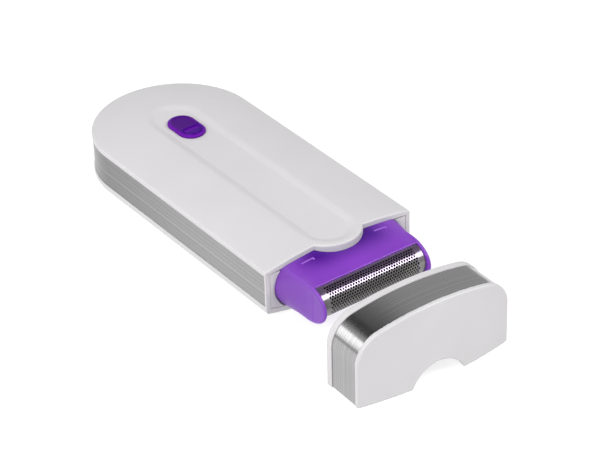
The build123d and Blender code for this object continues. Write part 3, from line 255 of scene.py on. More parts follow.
def settle(field, points, step):
    """Moves points along the field's slope onto its zero surface, half a step at most."""
    for _ in range(SETTLE_ROUNDS):
        here = field(*points.T)
        slope = gradient(field, points)
        size = np.maximum((slope**2).sum(1), FLAT_SLOPE)
        move = -here[:, None] * slope / size[:, None]
        length = np.maximum(np.linalg.norm(move, axis=1), TINY)
        points = points + move * np.minimum(1, 0.5 * step / length)[:, None]
    return points


NET_STEP = 0.36
SHADING_REACH = 0.1


def field_piece(name, body, nodes, material, field, low, high):
    """The piece whose surface is where field is zero, shaded by the field's own slope."""
    step = NET_STEP
    points, faces = net_surface(field, low, high, step)
    thing = piece(name, body, nodes, material, points.tolist(), faces)
    places = np.array([v.co for v in thing.data.vertices]) / MM
    slopes = gradient(field, places, SHADING_REACH)
    lengths = np.maximum(np.linalg.norm(slopes, axis=1), 0.001)
    thing.data.normals_split_custom_set_from_vertices((slopes / lengths[:, None]).tolist())


def soft_max(a, b, blend):
    """The larger of the two, rounded off where they differ by less than blend."""
    overlap = np.maximum(blend - np.abs(a - b), 0)
    return np.maximum(a, b) + overlap**2 / (4 * blend)


def soft_min(a, b, blend):
    return -soft_max(-a, -b, blend)


def box_field(x, y, z, low, high):
    """Signed distance to a box, roughly."""
    out = np.maximum(low[0] - x, x - high[0])
    out = np.maximum(out, np.maximum(low[1] - y, y - high[1]))
    return np.maximum(out, np.maximum(low[2] - z, z - high[2]))


# ------------------------------------------------------------------ materials
def new_material(name):
    material = bpy.data.materials.new(name)
    material.use_nodes = True
    tree = material.node_tree
    return material, tree, tree.nodes["Principled BSDF"]


def coordinates(tree):
    """Object coordinates, which are metres in the row frame."""
    return tree.nodes.new("ShaderNodeTexCoord").outputs["Object"]


NOISE_LOW = 0.3  # the noise seldom leaves this range
NOISE_HIGH = 0.7


def noise(tree, vector, scale, detail=3.0):
    node = tree.nodes.new("ShaderNodeTexNoise")
    node.inputs["Scale"].default_value = scale
    node.inputs["Detail"].default_value = detail
    tree.links.new(vector, node.inputs["Vector"])
    return node.outputs["Fac"]


def remap(tree, value, low, high):
    """Noise as a number from low to high."""
    node = tree.nodes.new("ShaderNodeMapRange")
    node.inputs["From Min"].default_value = NOISE_LOW
    node.inputs["From Max"].default_value = NOISE_HIGH
    node.inputs["To Min"].default_value = low
    node.inputs["To Max"].default_value = high
    tree.links.new(value, node.inputs["Value"])
    return node.outputs["Result"]


def tint(tree, value, dark, light):
    """Noise as a colour from dark to light."""
    node = tree.nodes.new("ShaderNodeValToRGB")
    node.color_ramp.elements[0].position = NOISE_LOW
    node.color_ramp.elements[0].color = (*dark, 1)
    node.color_ramp.elements[1].position = NOISE_HIGH
    node.color_ramp.elements[1].color = (*light, 1)
    tree.links.new(value, node.inputs["Fac"])
    return node.outputs["Color"]


def bump(tree, shader, height, strength, distance):
    node = tree.nodes.new("ShaderNodeBump")
    node.inputs["Strength"].default_value = strength
    node.inputs["Distance"].default_value = distance
    tree.links.new(height, node.inputs["Height"])
    tree.links.new(node.outputs["Normal"], shader.inputs["Normal"])


def ramp(tree, value, start, end, low, high):
    """A smooth change from low to high while value goes from start to end."""
    node = tree.nodes.new("ShaderNodeMapRange")
    node.interpolation_type = "SMOOTHSTEP"
    node.inputs["From Min"].default_value = start
    node.inputs["From Max"].default_value = end
    node.inputs["To Min"].default_value = low
    node.inputs["To Max"].default_value = high
    tree.links.new(value, node.inputs["Value"])
    return node.outputs["Result"]


def axis_ramp(tree, axis, start, end):
    """0 to 1 between two places along one axis, in millimetres; X counts from the middle."""
    split = tree.nodes.new("ShaderNodeSeparateXYZ")
    tree.links.new(coordinates(tree), split.inputs["Vector"])
    place = split.outputs[axis]
    if axis == "X":
        size = tree.nodes.new("ShaderNodeMath")
        size.operation = "ABSOLUTE"
        tree.links.new(place, size.inputs[0])
        place = size.outputs["Value"]
    return ramp(tree, place, start * MM, end * MM, 0, 1)


def multiply(tree, first, second):
    node = tree.nodes.new("ShaderNodeMath")
    node.operation = "MULTIPLY"
    tree.links.new(first, node.inputs[0])
    tree.links.new(second, node.inputs[1])
    return node.outputs["Value"]


def blend_colour(tree, factor, first, second):
    """Mixes two colours, each a colour socket or three numbers."""
    node = tree.nodes.new("ShaderNodeMix")
    node.data_type = "RGBA"
    tree.links.new(factor, node.inputs["Factor"])
    for socket, colour in ((node.inputs[6], first), (node.inputs[7], second)):
        if isinstance(colour, tuple):
            socket.default_value = (*colour, 1)
        else:
            tree.links.new(colour, socket)
    return node.outputs[2]


HEAD_SHADE_Y = (-72, -63)  # painted shade: the head's colour deepens between these, where the tongue overhangs it
HEAD_SHADE_X = (21, 10)
# painted light: the head pales between these, as if light shone through its thin ends
HEAD_GLOW_X = (17, 23.5)


def translucent_purple():
    """The head's milky plastic, with painted shade where it backs onto the handle under the tongue
    and painted light at its paler ends.
    """
    material, tree, shader = new_material("purple_head")
    cloud = noise(tree, coordinates(tree), 90, 2)
    body = tint(tree, cloud, (0.16, 0.033, 0.36), (0.175, 0.038, 0.39))
    # painted shade where the tongue overhangs the head
    tongue_shade = multiply(tree, axis_ramp(tree, "Y", *HEAD_SHADE_Y), axis_ramp(tree, "X", *HEAD_SHADE_X))
    deep = blend_colour(tree, tongue_shade, body, (0.05, 0.002, 0.19))
    # painted light: paler towards the head's thin ends
    pale = blend_colour(tree, axis_ramp(tree, "X", *HEAD_GLOW_X), deep, (0.165, 0.049, 0.345))
    tree.links.new(pale, shader.inputs["Base Color"])
    shader.inputs["Roughness"].default_value = 0.31
    shader.inputs["Specular IOR Level"].default_value = 0.3
    shader.inputs["Subsurface Weight"].default_value = 0.35
    shader.inputs["Subsurface Scale"].default_value = 0.004
    shader.inputs["Subsurface Radius"].default_value = (0.8, 0.25, 1.0)
    return material


def moulded(name, colour, roughness, grain=2500, contrast=0.03):
    """Moulded plastic: a fine satin grain and a slight unevenness of colour."""
    material, tree, shader = new_material(name)
    place = coordinates(tree)
    cloud = noise(tree, place, 60)
    dark = [c * (1 - contrast) for c in colour]
    tree.links.new(tint(tree, cloud, dark, colour), shader.inputs["Base Color"])
    fine = noise(tree, place, grain, 2)
    uneven = remap(tree, fine, roughness - 0.04, roughness + 0.05)
    tree.links.new(uneven, shader.inputs["Roughness"])
    bump(tree, shader, fine, 0.04, 0.0001)
    return material


STREAK_LENGTH_M = 2.0  # far longer than the object, so a streak runs its whole length
# painted shade: the band darkens towards the tail between these
TAIL_SHADE_Y = (-40, 50)
BROAD_STREAK = 3.25  # width of a broad streak, in hairlines


def streaks(tree, across, size_m, turn):
    """Noise drawn out along a surface, with cells of this size in the across direction."""
    mapping = tree.nodes.new("ShaderNodeMapping")
    mapping.vector_type = "TEXTURE"
    mapping.inputs["Rotation"].default_value = (0, 0, turn)
    cell = [STREAK_LENGTH_M] * 3
    cell["XYZ".index(across)] = size_m
    mapping.inputs["Scale"].default_value = cell
    tree.links.new(coordinates(tree), mapping.inputs["Vector"])
    return noise(tree, mapping.outputs["Vector"], 1.0, 2)


def brushed(name, colour, across, contrast, hair_m=0.0004, turn=0.0, roughness=0.26, tail_shade=1.0):
    """Brushed metal with broad soft streaks and hairlines, darkened towards the tail by painted
    shade.
    """
    material, tree, shader = new_material(name)
    both = tree.nodes.new("ShaderNodeMix")
    both.inputs["Factor"].default_value = 0.5
    tree.links.new(streaks(tree, across, BROAD_STREAK * hair_m, turn), both.inputs["A"])
    tree.links.new(streaks(tree, across, hair_m, turn), both.inputs["B"])
    streak = both.outputs["Result"]
    dark = [c * (1 - contrast) for c in colour]
    front = tint(tree, streak, dark, colour)
    # painted shade: the same streaks, darker towards the tail
    shaded_tail = tint(tree, streak, [c * tail_shade for c in dark], [c * tail_shade for c in colour])
    shade = blend_colour(tree, axis_ramp(tree, "Y", *TAIL_SHADE_Y), front, shaded_tail)
    tree.links.new(shade, shader.inputs["Base Color"])
    uneven = remap(tree, streak, roughness + 0.1, roughness - 0.04)
    tree.links.new(uneven, shader.inputs["Roughness"])
    shader.inputs["Metallic"].default_value = 1.0
    return material


FOIL_REFLECTION_Z = (13.5, 16.5)  # where the foil turns over from its front to its top, and a painted purple reflection takes over


def plain_metal(name, colour, roughness, painted_reflection=None, metallic=1.0):
    """Even metal which, over the top of the foil, blends into a second colour: a painted reflection
    of the purple head.
    """
    material, tree, shader = new_material(name)
    fine = noise(tree, coordinates(tree), 1500, 2)
    uneven = remap(tree, fine, roughness - 0.05, roughness + 0.08)
    tree.links.new(uneven, shader.inputs["Roughness"])
    even = tint(tree, fine, [c * 0.93 for c in colour], colour)
    if painted_reflection:
        # painted reflection of the purple head over the foil's top
        even = blend_colour(tree, axis_ramp(tree, "Z", *FOIL_REFLECTION_Z), even, painted_reflection)
    tree.links.new(even, shader.inputs["Base Color"])
    shader.inputs["Metallic"].default_value = metallic
    bump(tree, shader, fine, 0.1, 0.00001)
    return material


# painted shade on the dish nearest the head, and painted light on the button's lower rim, between
# these
BUTTON_SHADE_Y = (23.4, 22.8)
BUTTON_LIT_RIM_Z = (22.35, 22.1)


def button_plastic():
    """Deep violet, with painted light on its rim and painted shade, darker and bluer, on the dish
    at the end nearest the head.
    """
    material, tree, shader = new_material("purple_button")
    # painted shade: darker and bluer towards the end nearest the head
    front = axis_ramp(tree, "Y", *BUTTON_SHADE_Y)
    pad = blend_colour(tree, front, (0.050, 0.0045, 0.145), (0.040, 0.0005, 0.165))
    # painted light: the lower rim is brighter
    rim = axis_ramp(tree, "Z", *BUTTON_LIT_RIM_Z)
    tree.links.new(blend_colour(tree, rim, pad, (0.105, 0.006, 0.27)), shader.inputs["Base Color"])
    fine = noise(tree, coordinates(tree), 1500, 2)
    tree.links.new(remap(tree, fine, 0.34, 0.42), shader.inputs["Roughness"])
    shader.inputs["Specular IOR Level"].default_value = 0.06
    return material


CAP_YAW = math.radians(-1.592)

WHITE = moulded("white_plastic", (0.49, 0.48, 0.49), 0.42, grain=1800)
# the side band carries painted shade towards its tail
BAND = brushed("brushed_band", (0.49, 0.485, 0.49), "Z", 0.6, tail_shade=0.68)
CAP_BAND = brushed(
    "brushed_cap_band", (0.51, 0.505, 0.51), "Y", 0.48, hair_m=0.00018, turn=CAP_YAW,
    roughness=0.15)
PURPLE = translucent_purple()
# paler than the head: a painted highlight along the raised release marks
MARK_HIGHLIGHT_PURPLE = moulded("pale_purple", (0.30, 0.10, 0.55), 0.35, grain=1500, contrast=0.05)
BUTTON = button_plastic()
# the purple colour is a painted reflection of the head on the foil's top
FOIL = plain_metal("foil_steel", (0.22, 0.215, 0.21), 0.2, (0.16, 0.12, 0.19), metallic=0.6)
STEEL = plain_metal("steel", (0.5, 0.5, 0.51), 0.25)
DARK_STEEL = plain_metal("blade_steel", (0.05, 0.048, 0.05), 0.4)
BLACK = moulded("black_plastic", (0.02, 0.02, 0.022), 0.45)
GREY = moulded("grey_plastic", (0.3, 0.3, 0.32), 0.45)
COPPER = plain_metal("copper", (0.75, 0.35, 0.2), 0.3)
BRONZE = plain_metal("bronze", (0.5, 0.33, 0.16), 0.4)
GREEN = moulded("board_green", (0.02, 0.14, 0.05), 0.35)
BLUE = moulded("cell_wrap", (0.03, 0.09, 0.3), 0.3)
RED = moulded("wire_red", (0.35, 0.02, 0.02), 0.4)

BY_SLOT = {
    "white_plastic": WHITE, "brushed_trim": BAND, "head_purple": PURPLE, "button_purple": BUTTON,
    "foil_steel": FOIL, "blade_steel": DARK_STEEL, "black_plastic": BLACK, "grey_plastic": GREY,
    "motor_steel": STEEL, "shaft_steel": STEEL, "bronze": BRONZE, "copper": COPPER, "magnet": BLACK,
    "board_green": GREEN, "cell_wrap": BLUE, "nickel": STEEL, "wire_red": RED, "screw_steel": STEEL,
}
for part in frame["record"]["subparts"]:
    node = NODES[part["node"]]
    node.data.materials.clear()
    node.data.materials.append(BY_SLOT[part["material_slot"]])


# ------------------------------------------------------------------ top cover
EDGE_ANGLES = (0, 15, 32, 50, 70, 90)
UNDER_RISE = 0.8  # of the lower skin, from below the channel to beside it
UNDER_RISE_X = (9, 13)
MIDDLE_COLUMNS = [0.0, 2.5, 5.0]
CHANNEL_COLUMNS = 15
SIDE_COLUMNS = 9
TONGUE_ROWS = 22
FRONT_ROWS = 9
HANDLE_ROWS = 12
TAIL_ROWS = 40


def edge_steps(limit):
    """Places across a surface that gather towards its rounded edge."""
    return [limit - EDGE_ROUND * (1 - math.sin(math.radians(a))) for a in EDGE_ANGLES]


def from_spine(x, y):
    """Distance from the handle's middle line, which ends at the centre of the round tail."""
    return np.where(y > TAIL_Y, np.hypot(x, y - TAIL_Y), np.abs(x))


def outline_distance(x, y):
    """How far a point of the top cover lies inside its outline."""
    tongue = TONGUE_RADIUS - np.hypot(x, y - TONGUE_Y)
    return np.minimum(HALF_WIDTH - from_spine(x, y), np.maximum(y - FRONT_Y, tongue))


def cover_height(x, y):
    """The crowned top with its long shallow channel and its rounded rim."""
    across = from_spine(x, y)
    along = np.where(y < TONGUE_Y, np.hypot(x, y - TONGUE_Y), across)
    floor_z = TOP_Z - CHANNEL_DROP
    slope = eased_ramp(along, CHANNEL_INNER, CHANNEL_OUTER, CHANNEL_EASE)
    inside = np.clip(EDGE_ROUND - outline_distance(x, y), 0, EDGE_ROUND)
    fall = EDGE_ROUND - np.sqrt(EDGE_ROUND**2 - inside**2)
    return floor_z + (crown_z(across) - floor_z) * slope - fall


def cover_under(x, y):
    """The lower skin, which clears the channel above it and ends at the band."""
    across = from_spine(x, y)
    below_channel = TOP_Z - CHANNEL_DROP - WALL + UNDER_RISE * smoothstep(across, *UNDER_RISE_X)
    return np.maximum(np.minimum(crown_z(across, WALL), below_channel), BAND_HIGH_Z)


def cover_rows():
    """Rows of plan points from the middle line outwards: the tongue's, then those behind it."""
    channel = (CHANNEL_INNER - CHANNEL_EASE, CHANNEL_OUTER + CHANNEL_EASE)
    inner = MIDDLE_COLUMNS + np.linspace(*channel, CHANNEL_COLUMNS).tolist()
    inner += edge_steps(TONGUE_RADIUS)
    outer = np.linspace(TONGUE_RADIUS, HALF_WIDTH - EDGE_ROUND, SIDE_COLUMNS).tolist()[1:-1]
    outer += edge_steps(HALF_WIDTH)
    depth = TONGUE_Y - FRONT_Y
    root = math.atan2(depth, TONGUE_HALF)
    tongue = []
    for a in np.linspace(math.pi / 2, root, TONGUE_ROWS):
        tongue.append([(r * math.cos(a), TONGUE_Y - r * math.sin(a)) for r in inner])
    rows = []
    drops = edge_steps(depth)[::-1]
    drops += np.linspace(depth - EDGE_ROUND, 0, FRONT_ROWS).tolist()[1:]
    for drop in drops:
        a = math.asin(min(drop / TONGUE_RADIUS, math.sin(root)))
        start = Vector((TONGUE_RADIUS * math.cos(a), TONGUE_Y - TONGUE_RADIUS * math.sin(a)))
        end = Vector((HALF_WIDTH, TONGUE_Y - drop))
        row = [(r * math.cos(a), TONGUE_Y - r * math.sin(a)) for r in inner]
        for x in outer:
            part = (x - TONGUE_RADIUS) / (HALF_WIDTH - TONGUE_RADIUS)
            row.append(tuple(start.lerp(end, part)))
        rows.append(row)
    for y in np.linspace(TONGUE_Y, TAIL_Y, HANDLE_ROWS)[1:]:
        rows.append([(x, y) for x in inner + outer])
    for a in np.linspace(0, math.pi / 2, TAIL_ROWS)[1:]:
        rows.append([(r * math.cos(a), TAIL_Y + r * math.sin(a)) for r in inner + outer])
    return tongue, rows


def build_top_cover():
    """An upper and a lower skin over the same plan points, joined round the rim."""
    tongue, rows = cover_rows()
    points = []
    faces = []
    for side in (-1, 1):
        for patch in (tongue, rows):
            columns = len(patch[0])
            plan = np.array(patch).reshape(-1, 2) * [side, 1]
            for height in (cover_height, cover_under):
                faces += grid_faces(len(patch), columns, len(points))
                points += np.column_stack([plan, height(*plan.T)]).tolist()
            lower = len(points) - len(plan)
            upper = lower - len(plan)
            rim = [i * columns + columns - 1 for i in range(len(patch))]
            if patch is rows:
                rim = list(range(columns - 1, len(tongue[0]) - 2, -1)) + rim[1:]
            for a, b in zip(rim, rim[1:]):
                faces.append((upper + a, upper + b, lower + b, lower + a))
    cover = piece(
        "top_cover_skin", "handle", ["top_cover"], WHITE, points, faces)
    split_edges(cover, angle=50)


# ------------------------------------------------------------------ head
CREASE_Y = FRONT_Y - 14.4
CREASE_TOP_Z = 17.9
CREASE_LOW_Z = 4.7
CHEEK_OUTER_X = 21.5
CHEEK_INNER_X = 20.2
CHEEK_Y = FRONT_Y - 11.0
CHEEK_Z = 11.3
CHEEK_REACH = 9.8
CHEEK_HALF_HEIGHT = 7.1
BULGE_X = 25.4
CORNER_X = 21.9
HEAD_HALF_HEIGHT = 7.3
HEAD_TAPER = 1.35
SHOULDER_ROUND = 0.35  # at the handle, and how much it grows towards the foil
SHOULDER_GROWTH = 1.9
HEAD_REAR_Y = FRONT_Y + 1.45
HEAD_BELLY_DEPTH = WALL + 0.45
TUNNEL_HALF = 19.4
TUNNEL_LOW_Z = 6.0
TUNNEL_HIGH_Z = 17.2
CUT_FRONT_Y = CREASE_Y - 9  # both cuts start ahead of the head
WINDOW_REAR_Y = CREASE_Y + 3
SPIGOT_WALL = 1.2
SPIGOT_FRONT_Y = FRONT_Y - 2
SPIGOT_REAR_Y = FRONT_Y + 4.5
TUNNEL_REAR_Y = SPIGOT_REAR_Y + 5
OVAL_CORE = -0.8  # the cheek's oval counts no deeper than this near its centre
NUDGE = 1e-6  # keeps a division away from zero


def head_field(x, y, z):
    """Negative inside the head shell: hull, cheeks and spigot, less the tunnel and the window."""
    x = np.abs(x)
    forward = np.clip((FRONT_Y - y) / (FRONT_Y - CREASE_Y), 0, 1)
    top = crown_z(x, WALL + GAP) * (1 - forward) + CREASE_TOP_Z * forward
    low = belly_z(x, HEAD_BELLY_DEPTH) * (1 - forward) + CREASE_LOW_Z * forward
    bulge = (BULGE_X - CORNER_X) * np.clip(1 - ((z - AXIS_Z) / HEAD_HALF_HEIGHT) ** 2, 0, 1)
    side = CHEEK_OUTER_X + (CORNER_X - CHEEK_OUTER_X + bulge) * (1 - forward) ** HEAD_TAPER
    shoulder = SHOULDER_ROUND + SHOULDER_GROWTH * forward
    hull = soft_max(soft_max(z - top, low - z, 0.3), x - side, shoulder)
    hull = soft_max(hull, CREASE_Y - y, 0.5)

    dy = y - CHEEK_Y
    dz = z - CHEEK_Z
    radial = np.sqrt((dy / CHEEK_REACH) ** 2 + (dz / CHEEK_HALF_HEIGHT) ** 2) + NUDGE
    steep = np.sqrt((dy / CHEEK_REACH**2) ** 2 + (dz / CHEEK_HALF_HEIGHT**2) ** 2) / radial
    oval = np.maximum(radial - 1, OVAL_CORE) / (steep + NUDGE)
    middle = (CHEEK_OUTER_X + CHEEK_INNER_X) / 2
    half_width = (CHEEK_OUTER_X - CHEEK_INNER_X) / 2
    cheek = soft_max(oval, np.abs(x - middle) - half_width, 0.9)

    body = np.maximum(soft_min(hull, cheek, 0.5), y - HEAD_REAR_Y)
    spigot = box_field(
        x, y, z, (-1, SPIGOT_FRONT_Y, TUNNEL_LOW_Z - SPIGOT_WALL),
        (TUNNEL_HALF + SPIGOT_WALL, SPIGOT_REAR_Y, TUNNEL_HIGH_Z + SPIGOT_WALL))
    cut_low = (-1, CUT_FRONT_Y, TUNNEL_LOW_Z)
    tunnel = box_field(x, y, z, cut_low, (TUNNEL_HALF, TUNNEL_REAR_Y, TUNNEL_HIGH_Z))
    window = box_field(x, y, z, cut_low, (CHEEK_INNER_X, WINDOW_REAR_Y, TUNNEL_HIGH_Z))
    return soft_max(np.minimum(body, spigot), -np.minimum(tunnel, window), 0.25)


def build_head():
    """The head shell's surface and its two release marks."""
    low = (-26.2, FRONT_Y - 21.5, 1.1)
    high = (26.2, SPIGOT_REAR_Y + 0.6, 21.0)
    field_piece(
        "head_shell_skin", "foil_head", ["head_shell"], PURPLE,
        head_field, low, high)
    for side in (-1, 1):
        build_mark(side)


MARK_INNER_X = 12.2
MARK_OUTER_X = 16.8
MARK_Y = FRONT_Y - 2.75
MARK_HALF_WIDTH = 0.27
MARK_HEIGHT = 0.17
MARK_ROOT = 0.2  # how far it reaches into the head
MARK_SLOPE = 0.1
LEG_WIDTH = 0.5
LEG_REACH = 0.9


def build_mark(side):
    """One raised release mark: a thin bar with a short leg towards the foil."""
    low, high = sorted((side * MARK_INNER_X, side * MARK_OUTER_X))
    rear = MARK_Y + MARK_HALF_WIDTH
    forward = (FRONT_Y - MARK_Y) / (FRONT_Y - CREASE_Y)
    count = 8
    points = []
    faces = []
    for x0, y0 in ((low, MARK_Y - MARK_HALF_WIDTH), (high - LEG_WIDTH, MARK_Y - LEG_REACH)):
        start = len(points)
        for x in np.linspace(x0, high, count):
            z = float(crown_z(x, WALL + GAP) * (1 - forward) + CREASE_TOP_Z * forward)
            points += [
                (x, y0, z - MARK_ROOT), (x, y0 + MARK_SLOPE, z + MARK_HEIGHT),
                (x, rear - MARK_SLOPE, z + MARK_HEIGHT), (x, rear, z - MARK_ROOT)]
        faces += grid_faces(count, 4, start)
        for first in range(start, start + 4 * count, 4 * (count - 1)):
            faces.append(tuple(range(first, first + 4)))
        for a in range(start, start + 4 * (count - 1), 4):
            faces.append((a, a + 3, a + 7, a + 4))
    # the paler purple is a painted highlight on the mark
    piece(
        f"release_mark_{'left' if side < 0 else 'right'}", "foil_head", [],
        MARK_HIGHLIGHT_PURPLE, points, faces, smooth=False)


# ------------------------------------------------------------------ perforated foil
FOIL_Y = FRONT_Y - 13.0
FOIL_REACH = 6.4
FOIL_HALF_HEIGHT = 5.6
FOIL_ANGLE = 78
FOIL_HALF = CHEEK_INNER_X - 0.05
FOIL_SKIN = 0.12
HOLE_PITCH = 1.02
HOLE_RADIUS = 0.41
SIDE_MARGIN = 1.9  # least width of plain foil beside the holes
EDGE_MARGIN = 0.4  # and above and below them
CELL_EDGE = (  # round the edge of a cell, in quarters of its width and halves of its height
    (-2, -1), (-1, -1), (0, -1), (1, -1), (2, -1), (2, 0),
    (2, 1), (1, 1), (0, 1), (-1, 1), (-2, 1), (-2, 0))


def foil_arc():
    """The length of the foil's arc, and a function from distance along it to a place on it."""
    angles = np.radians(np.linspace(-FOIL_ANGLE, FOIL_ANGLE, 400))
    y = FOIL_Y - FOIL_REACH * np.cos(angles)
    z = AXIS_Z + FOIL_HALF_HEIGHT * np.sin(angles)
    length = np.concatenate([[0], np.cumsum(np.hypot(np.diff(y), np.diff(z)))])
    return length[-1], lambda v: (np.interp(v, length, y), np.interp(v, length, z))


def build_foil():
    """A thin sheet on the arc, cut into cells that each have a round hole, in staggered rows."""
    length, place = foil_arc()
    row_pitch = HOLE_PITCH * math.sqrt(3) / 2
    rows = int((length - 2 * EDGE_MARGIN) / row_pitch)
    margin = (length - rows * row_pitch) / 2
    columns = int(2 * (FOIL_HALF - SIDE_MARGIN) / HOLE_PITCH)
    half = columns * HOLE_PITCH / 2
    edge = [(a * HOLE_PITCH / 4, b * row_pitch / 2) for a, b in CELL_EDGE]
    turns = [math.atan2(v, x) for x, v in edge]
    hole = [(HOLE_RADIUS * math.cos(t), HOLE_RADIUS * math.sin(t)) for t in turns]
    sheet = []
    faces = []

    def add_cell(x0, v0):
        start = len(sheet)
        sheet.extend((x0 + x, v0 + v) for x, v in edge + hole)
        count = len(edge)
        for k in range(count):
            n = (k + 1) % count
            faces.append((start + k, start + n, start + count + n, start + count + k))

    def add_strip(x0, x1, v0, v1, cuts=2):
        start = len(sheet)
        for v in np.linspace(v0, v1, 3):
            sheet.extend((x, v) for x in np.linspace(x0, x1, cuts + 1))
        faces.extend(grid_faces(3, cuts + 1, start))

    for row in range(rows):
        low = margin + row * row_pitch
        shifted = row % 2
        for column in range(columns - shifted):
            add_cell(-half + HOLE_PITCH * (column + 0.5 + shifted / 2), low + row_pitch / 2)
        for side in (-1, 1):
            if shifted:
                add_strip(side * half, side * (half - HOLE_PITCH / 2), low, low + row_pitch)
            add_strip(side * half, side * FOIL_HALF, low, low + row_pitch)
    for low, high in ((0, margin), (length - margin, length)):
        add_strip(-half, half, low, high, columns * 4)
        for side in (-1, 1):
            add_strip(side * half, side * FOIL_HALF, low, high)
    points = []
    for x, v in sheet:
        y, z = place(v)
        points.append((x, float(y), float(z)))
    foil = piece("foil_mesh", "foil_head", ["foil_sheet"], FOIL, points, faces)
    thicken(foil, FOIL_SKIN)
    split_edges(foil)


# ------------------------------------------------------------------ button
BUTTON_HALF_WIDTH = (button_high.x - button_low.x) / 2
BUTTON_Y = (button_high.y + button_low.y) / 2
BUTTON_SPINE = (button_high.y - button_low.y) / 2 - BUTTON_HALF_WIDTH
BUTTON_TOP_Z = button_high.z
BUTTON_BASE_Z = BUTTON_TOP_Z - 1.5
BUTTON_INSETS = (
    0, 0.06, 0.15, 0.3, 0.6, 0.85, 0.95, 1.05, 1.15, 1.25, 1.5, 1.7, 1.9, 2.1, 2.3, 2.6, 3.0,
    3.6, 4.3, BUTTON_HALF_WIDTH)
LEDGE_HEIGHT = 0.75
LEDGE_ROUND = 0.25
PAD_HEIGHT = 0.6
PAD_INSETS = (0.85, 1.25)
LIP_DROP = 0.2
LIP_INSETS = (1.5, 2.2)
DISH_DROP = 0.26
DISH_RISE = 0.3
DISH_REACH = (0.1, 1.3, 5.0)  # where it starts behind the ridge, is lowest and ends
RIDGE_SETBACK = 1.5
RIDGE_BOW = 0.4
RIDGE_HEIGHT = 0.08
RIDGE_WIDTH = 0.4


def button_height(inset, y):
    """Two steps, a dished pad towards the tail and a raised lip at the end nearest the head."""
    ledge = LEDGE_HEIGHT - LEDGE_ROUND * np.clip(1 - inset / LEDGE_ROUND, 0, 1) ** 2
    pad = PAD_HEIGHT * smoothstep(inset, *PAD_INSETS)
    bow = RIDGE_BOW * ((BUTTON_HALF_WIDTH - inset) / BUTTON_HALF_WIDTH) ** 2
    past = y - BUTTON_Y + RIDGE_SETBACK + bow
    dish = -LIP_DROP - DISH_DROP * smoothstep(-past, *DISH_REACH[:2])
    dish += DISH_RISE * smoothstep(-past, *DISH_REACH[1:])
    ridge = RIDGE_HEIGHT * np.exp(-((past / RIDGE_WIDTH) ** 2))
    return BUTTON_BASE_Z + ledge + pad + (dish + ridge) * smoothstep(inset, *LIP_INSETS)


def build_button():
    """Rows of points from the outline inwards, all the way round."""
    outline = []
    for end in (1, -1):
        centre = BUTTON_Y + end * BUTTON_SPINE
        for a in np.linspace(0, math.pi, 33):
            outline.append((centre, end * math.cos(a), end * math.sin(a)))
        for y in np.linspace(centre, centre - 2 * end * BUTTON_SPINE, 17)[1:-1]:
            outline.append((y, -end, 0))
    outline.append(outline[0])
    columns = len(BUTTON_INSETS) + 1
    points = []
    for centre, nx, ny in outline:
        points.append((nx * BUTTON_HALF_WIDTH, centre + ny * BUTTON_HALF_WIDTH, BUTTON_BASE_Z))
        for inset in BUTTON_INSETS:
            reach = BUTTON_HALF_WIDTH - inset
            y = centre + ny * reach
            points.append((nx * reach, y, float(button_height(inset, y))))
    faces = grid_faces(len(outline), columns)
    faces.append([i * columns for i in range(len(outline) - 1)])
    piece("button_skin", "switch", ["switch_button"], BUTTON, points, faces)


# ------------------------------------------------------------------ bands, bezel, lower cover, cap
BAND_INSET = 0.25
BAND_THICKNESS = 0.6
SOCKET_HALF = 4.2
SOCKET_LOW_Z = 9.75
SOCKET_HIGH_Z = 13.35


def build_side_band():
    """One strip round both sides and the tail, set in under the covers, open at the socket."""
    half = HALF_WIDTH - BAND_INSET
    sides = np.linspace(band_low.y, TAIL_Y, 14)
    slot = math.asin(SOCKET_HALF / half)
    beside = np.linspace(slot, math.pi / 2, 40)
    turns = [*-beside[::-1], *np.linspace(-slot, slot, 9)[1:-1], *beside]
    outline = [(-half, y) for y in sides[:-1]]
    outline += [(half * math.sin(a), TAIL_Y + half * math.cos(a)) for a in turns]
    outline += [(half, y) for y in sides[-2::-1]]
    levels = (BAND_LOW_Z, SOCKET_LOW_Z, SOCKET_HIGH_Z, BAND_HIGH_Z)
    points = [(x, y, z) for x, y in outline for z in levels]
    faces = []
    for face in grid_faces(len(outline), len(levels)):
        x, y, z = np.mean([points[k] for k in face], axis=0)
        at_socket = abs(x) < SOCKET_HALF and SOCKET_LOW_Z < z < SOCKET_HIGH_Z
        if not (at_socket and y > TAIL_Y):
            faces.append(face)
    band = piece("side_band_skin", "handle", ["side_band"], BAND, points, faces)
    thicken(band, BAND_THICKNESS - BAND_INSET)
    split_edges(band)


CAP_HEIGHT = 26.6
CAP_X = -4.73
CAP_FACE_Y = -114.2
CAP_TOP_RADIUS = 110.0
CAP_CORNER_RADIUS = 10.0
CAP_MOUTH_CROWN = 3.0
CAP_END_CROWN = 0.01
CAP_WALL = 2.2
CAP_RIM_ROUND = 0.7
CAP_BAND_NEAR = 1.45
CAP_BAND_FAR = 13.35
CAP_BAND_BASE = 0.3
NOTCH_RADIUS = 11.0
NOTCH_DEPTH = 6.3


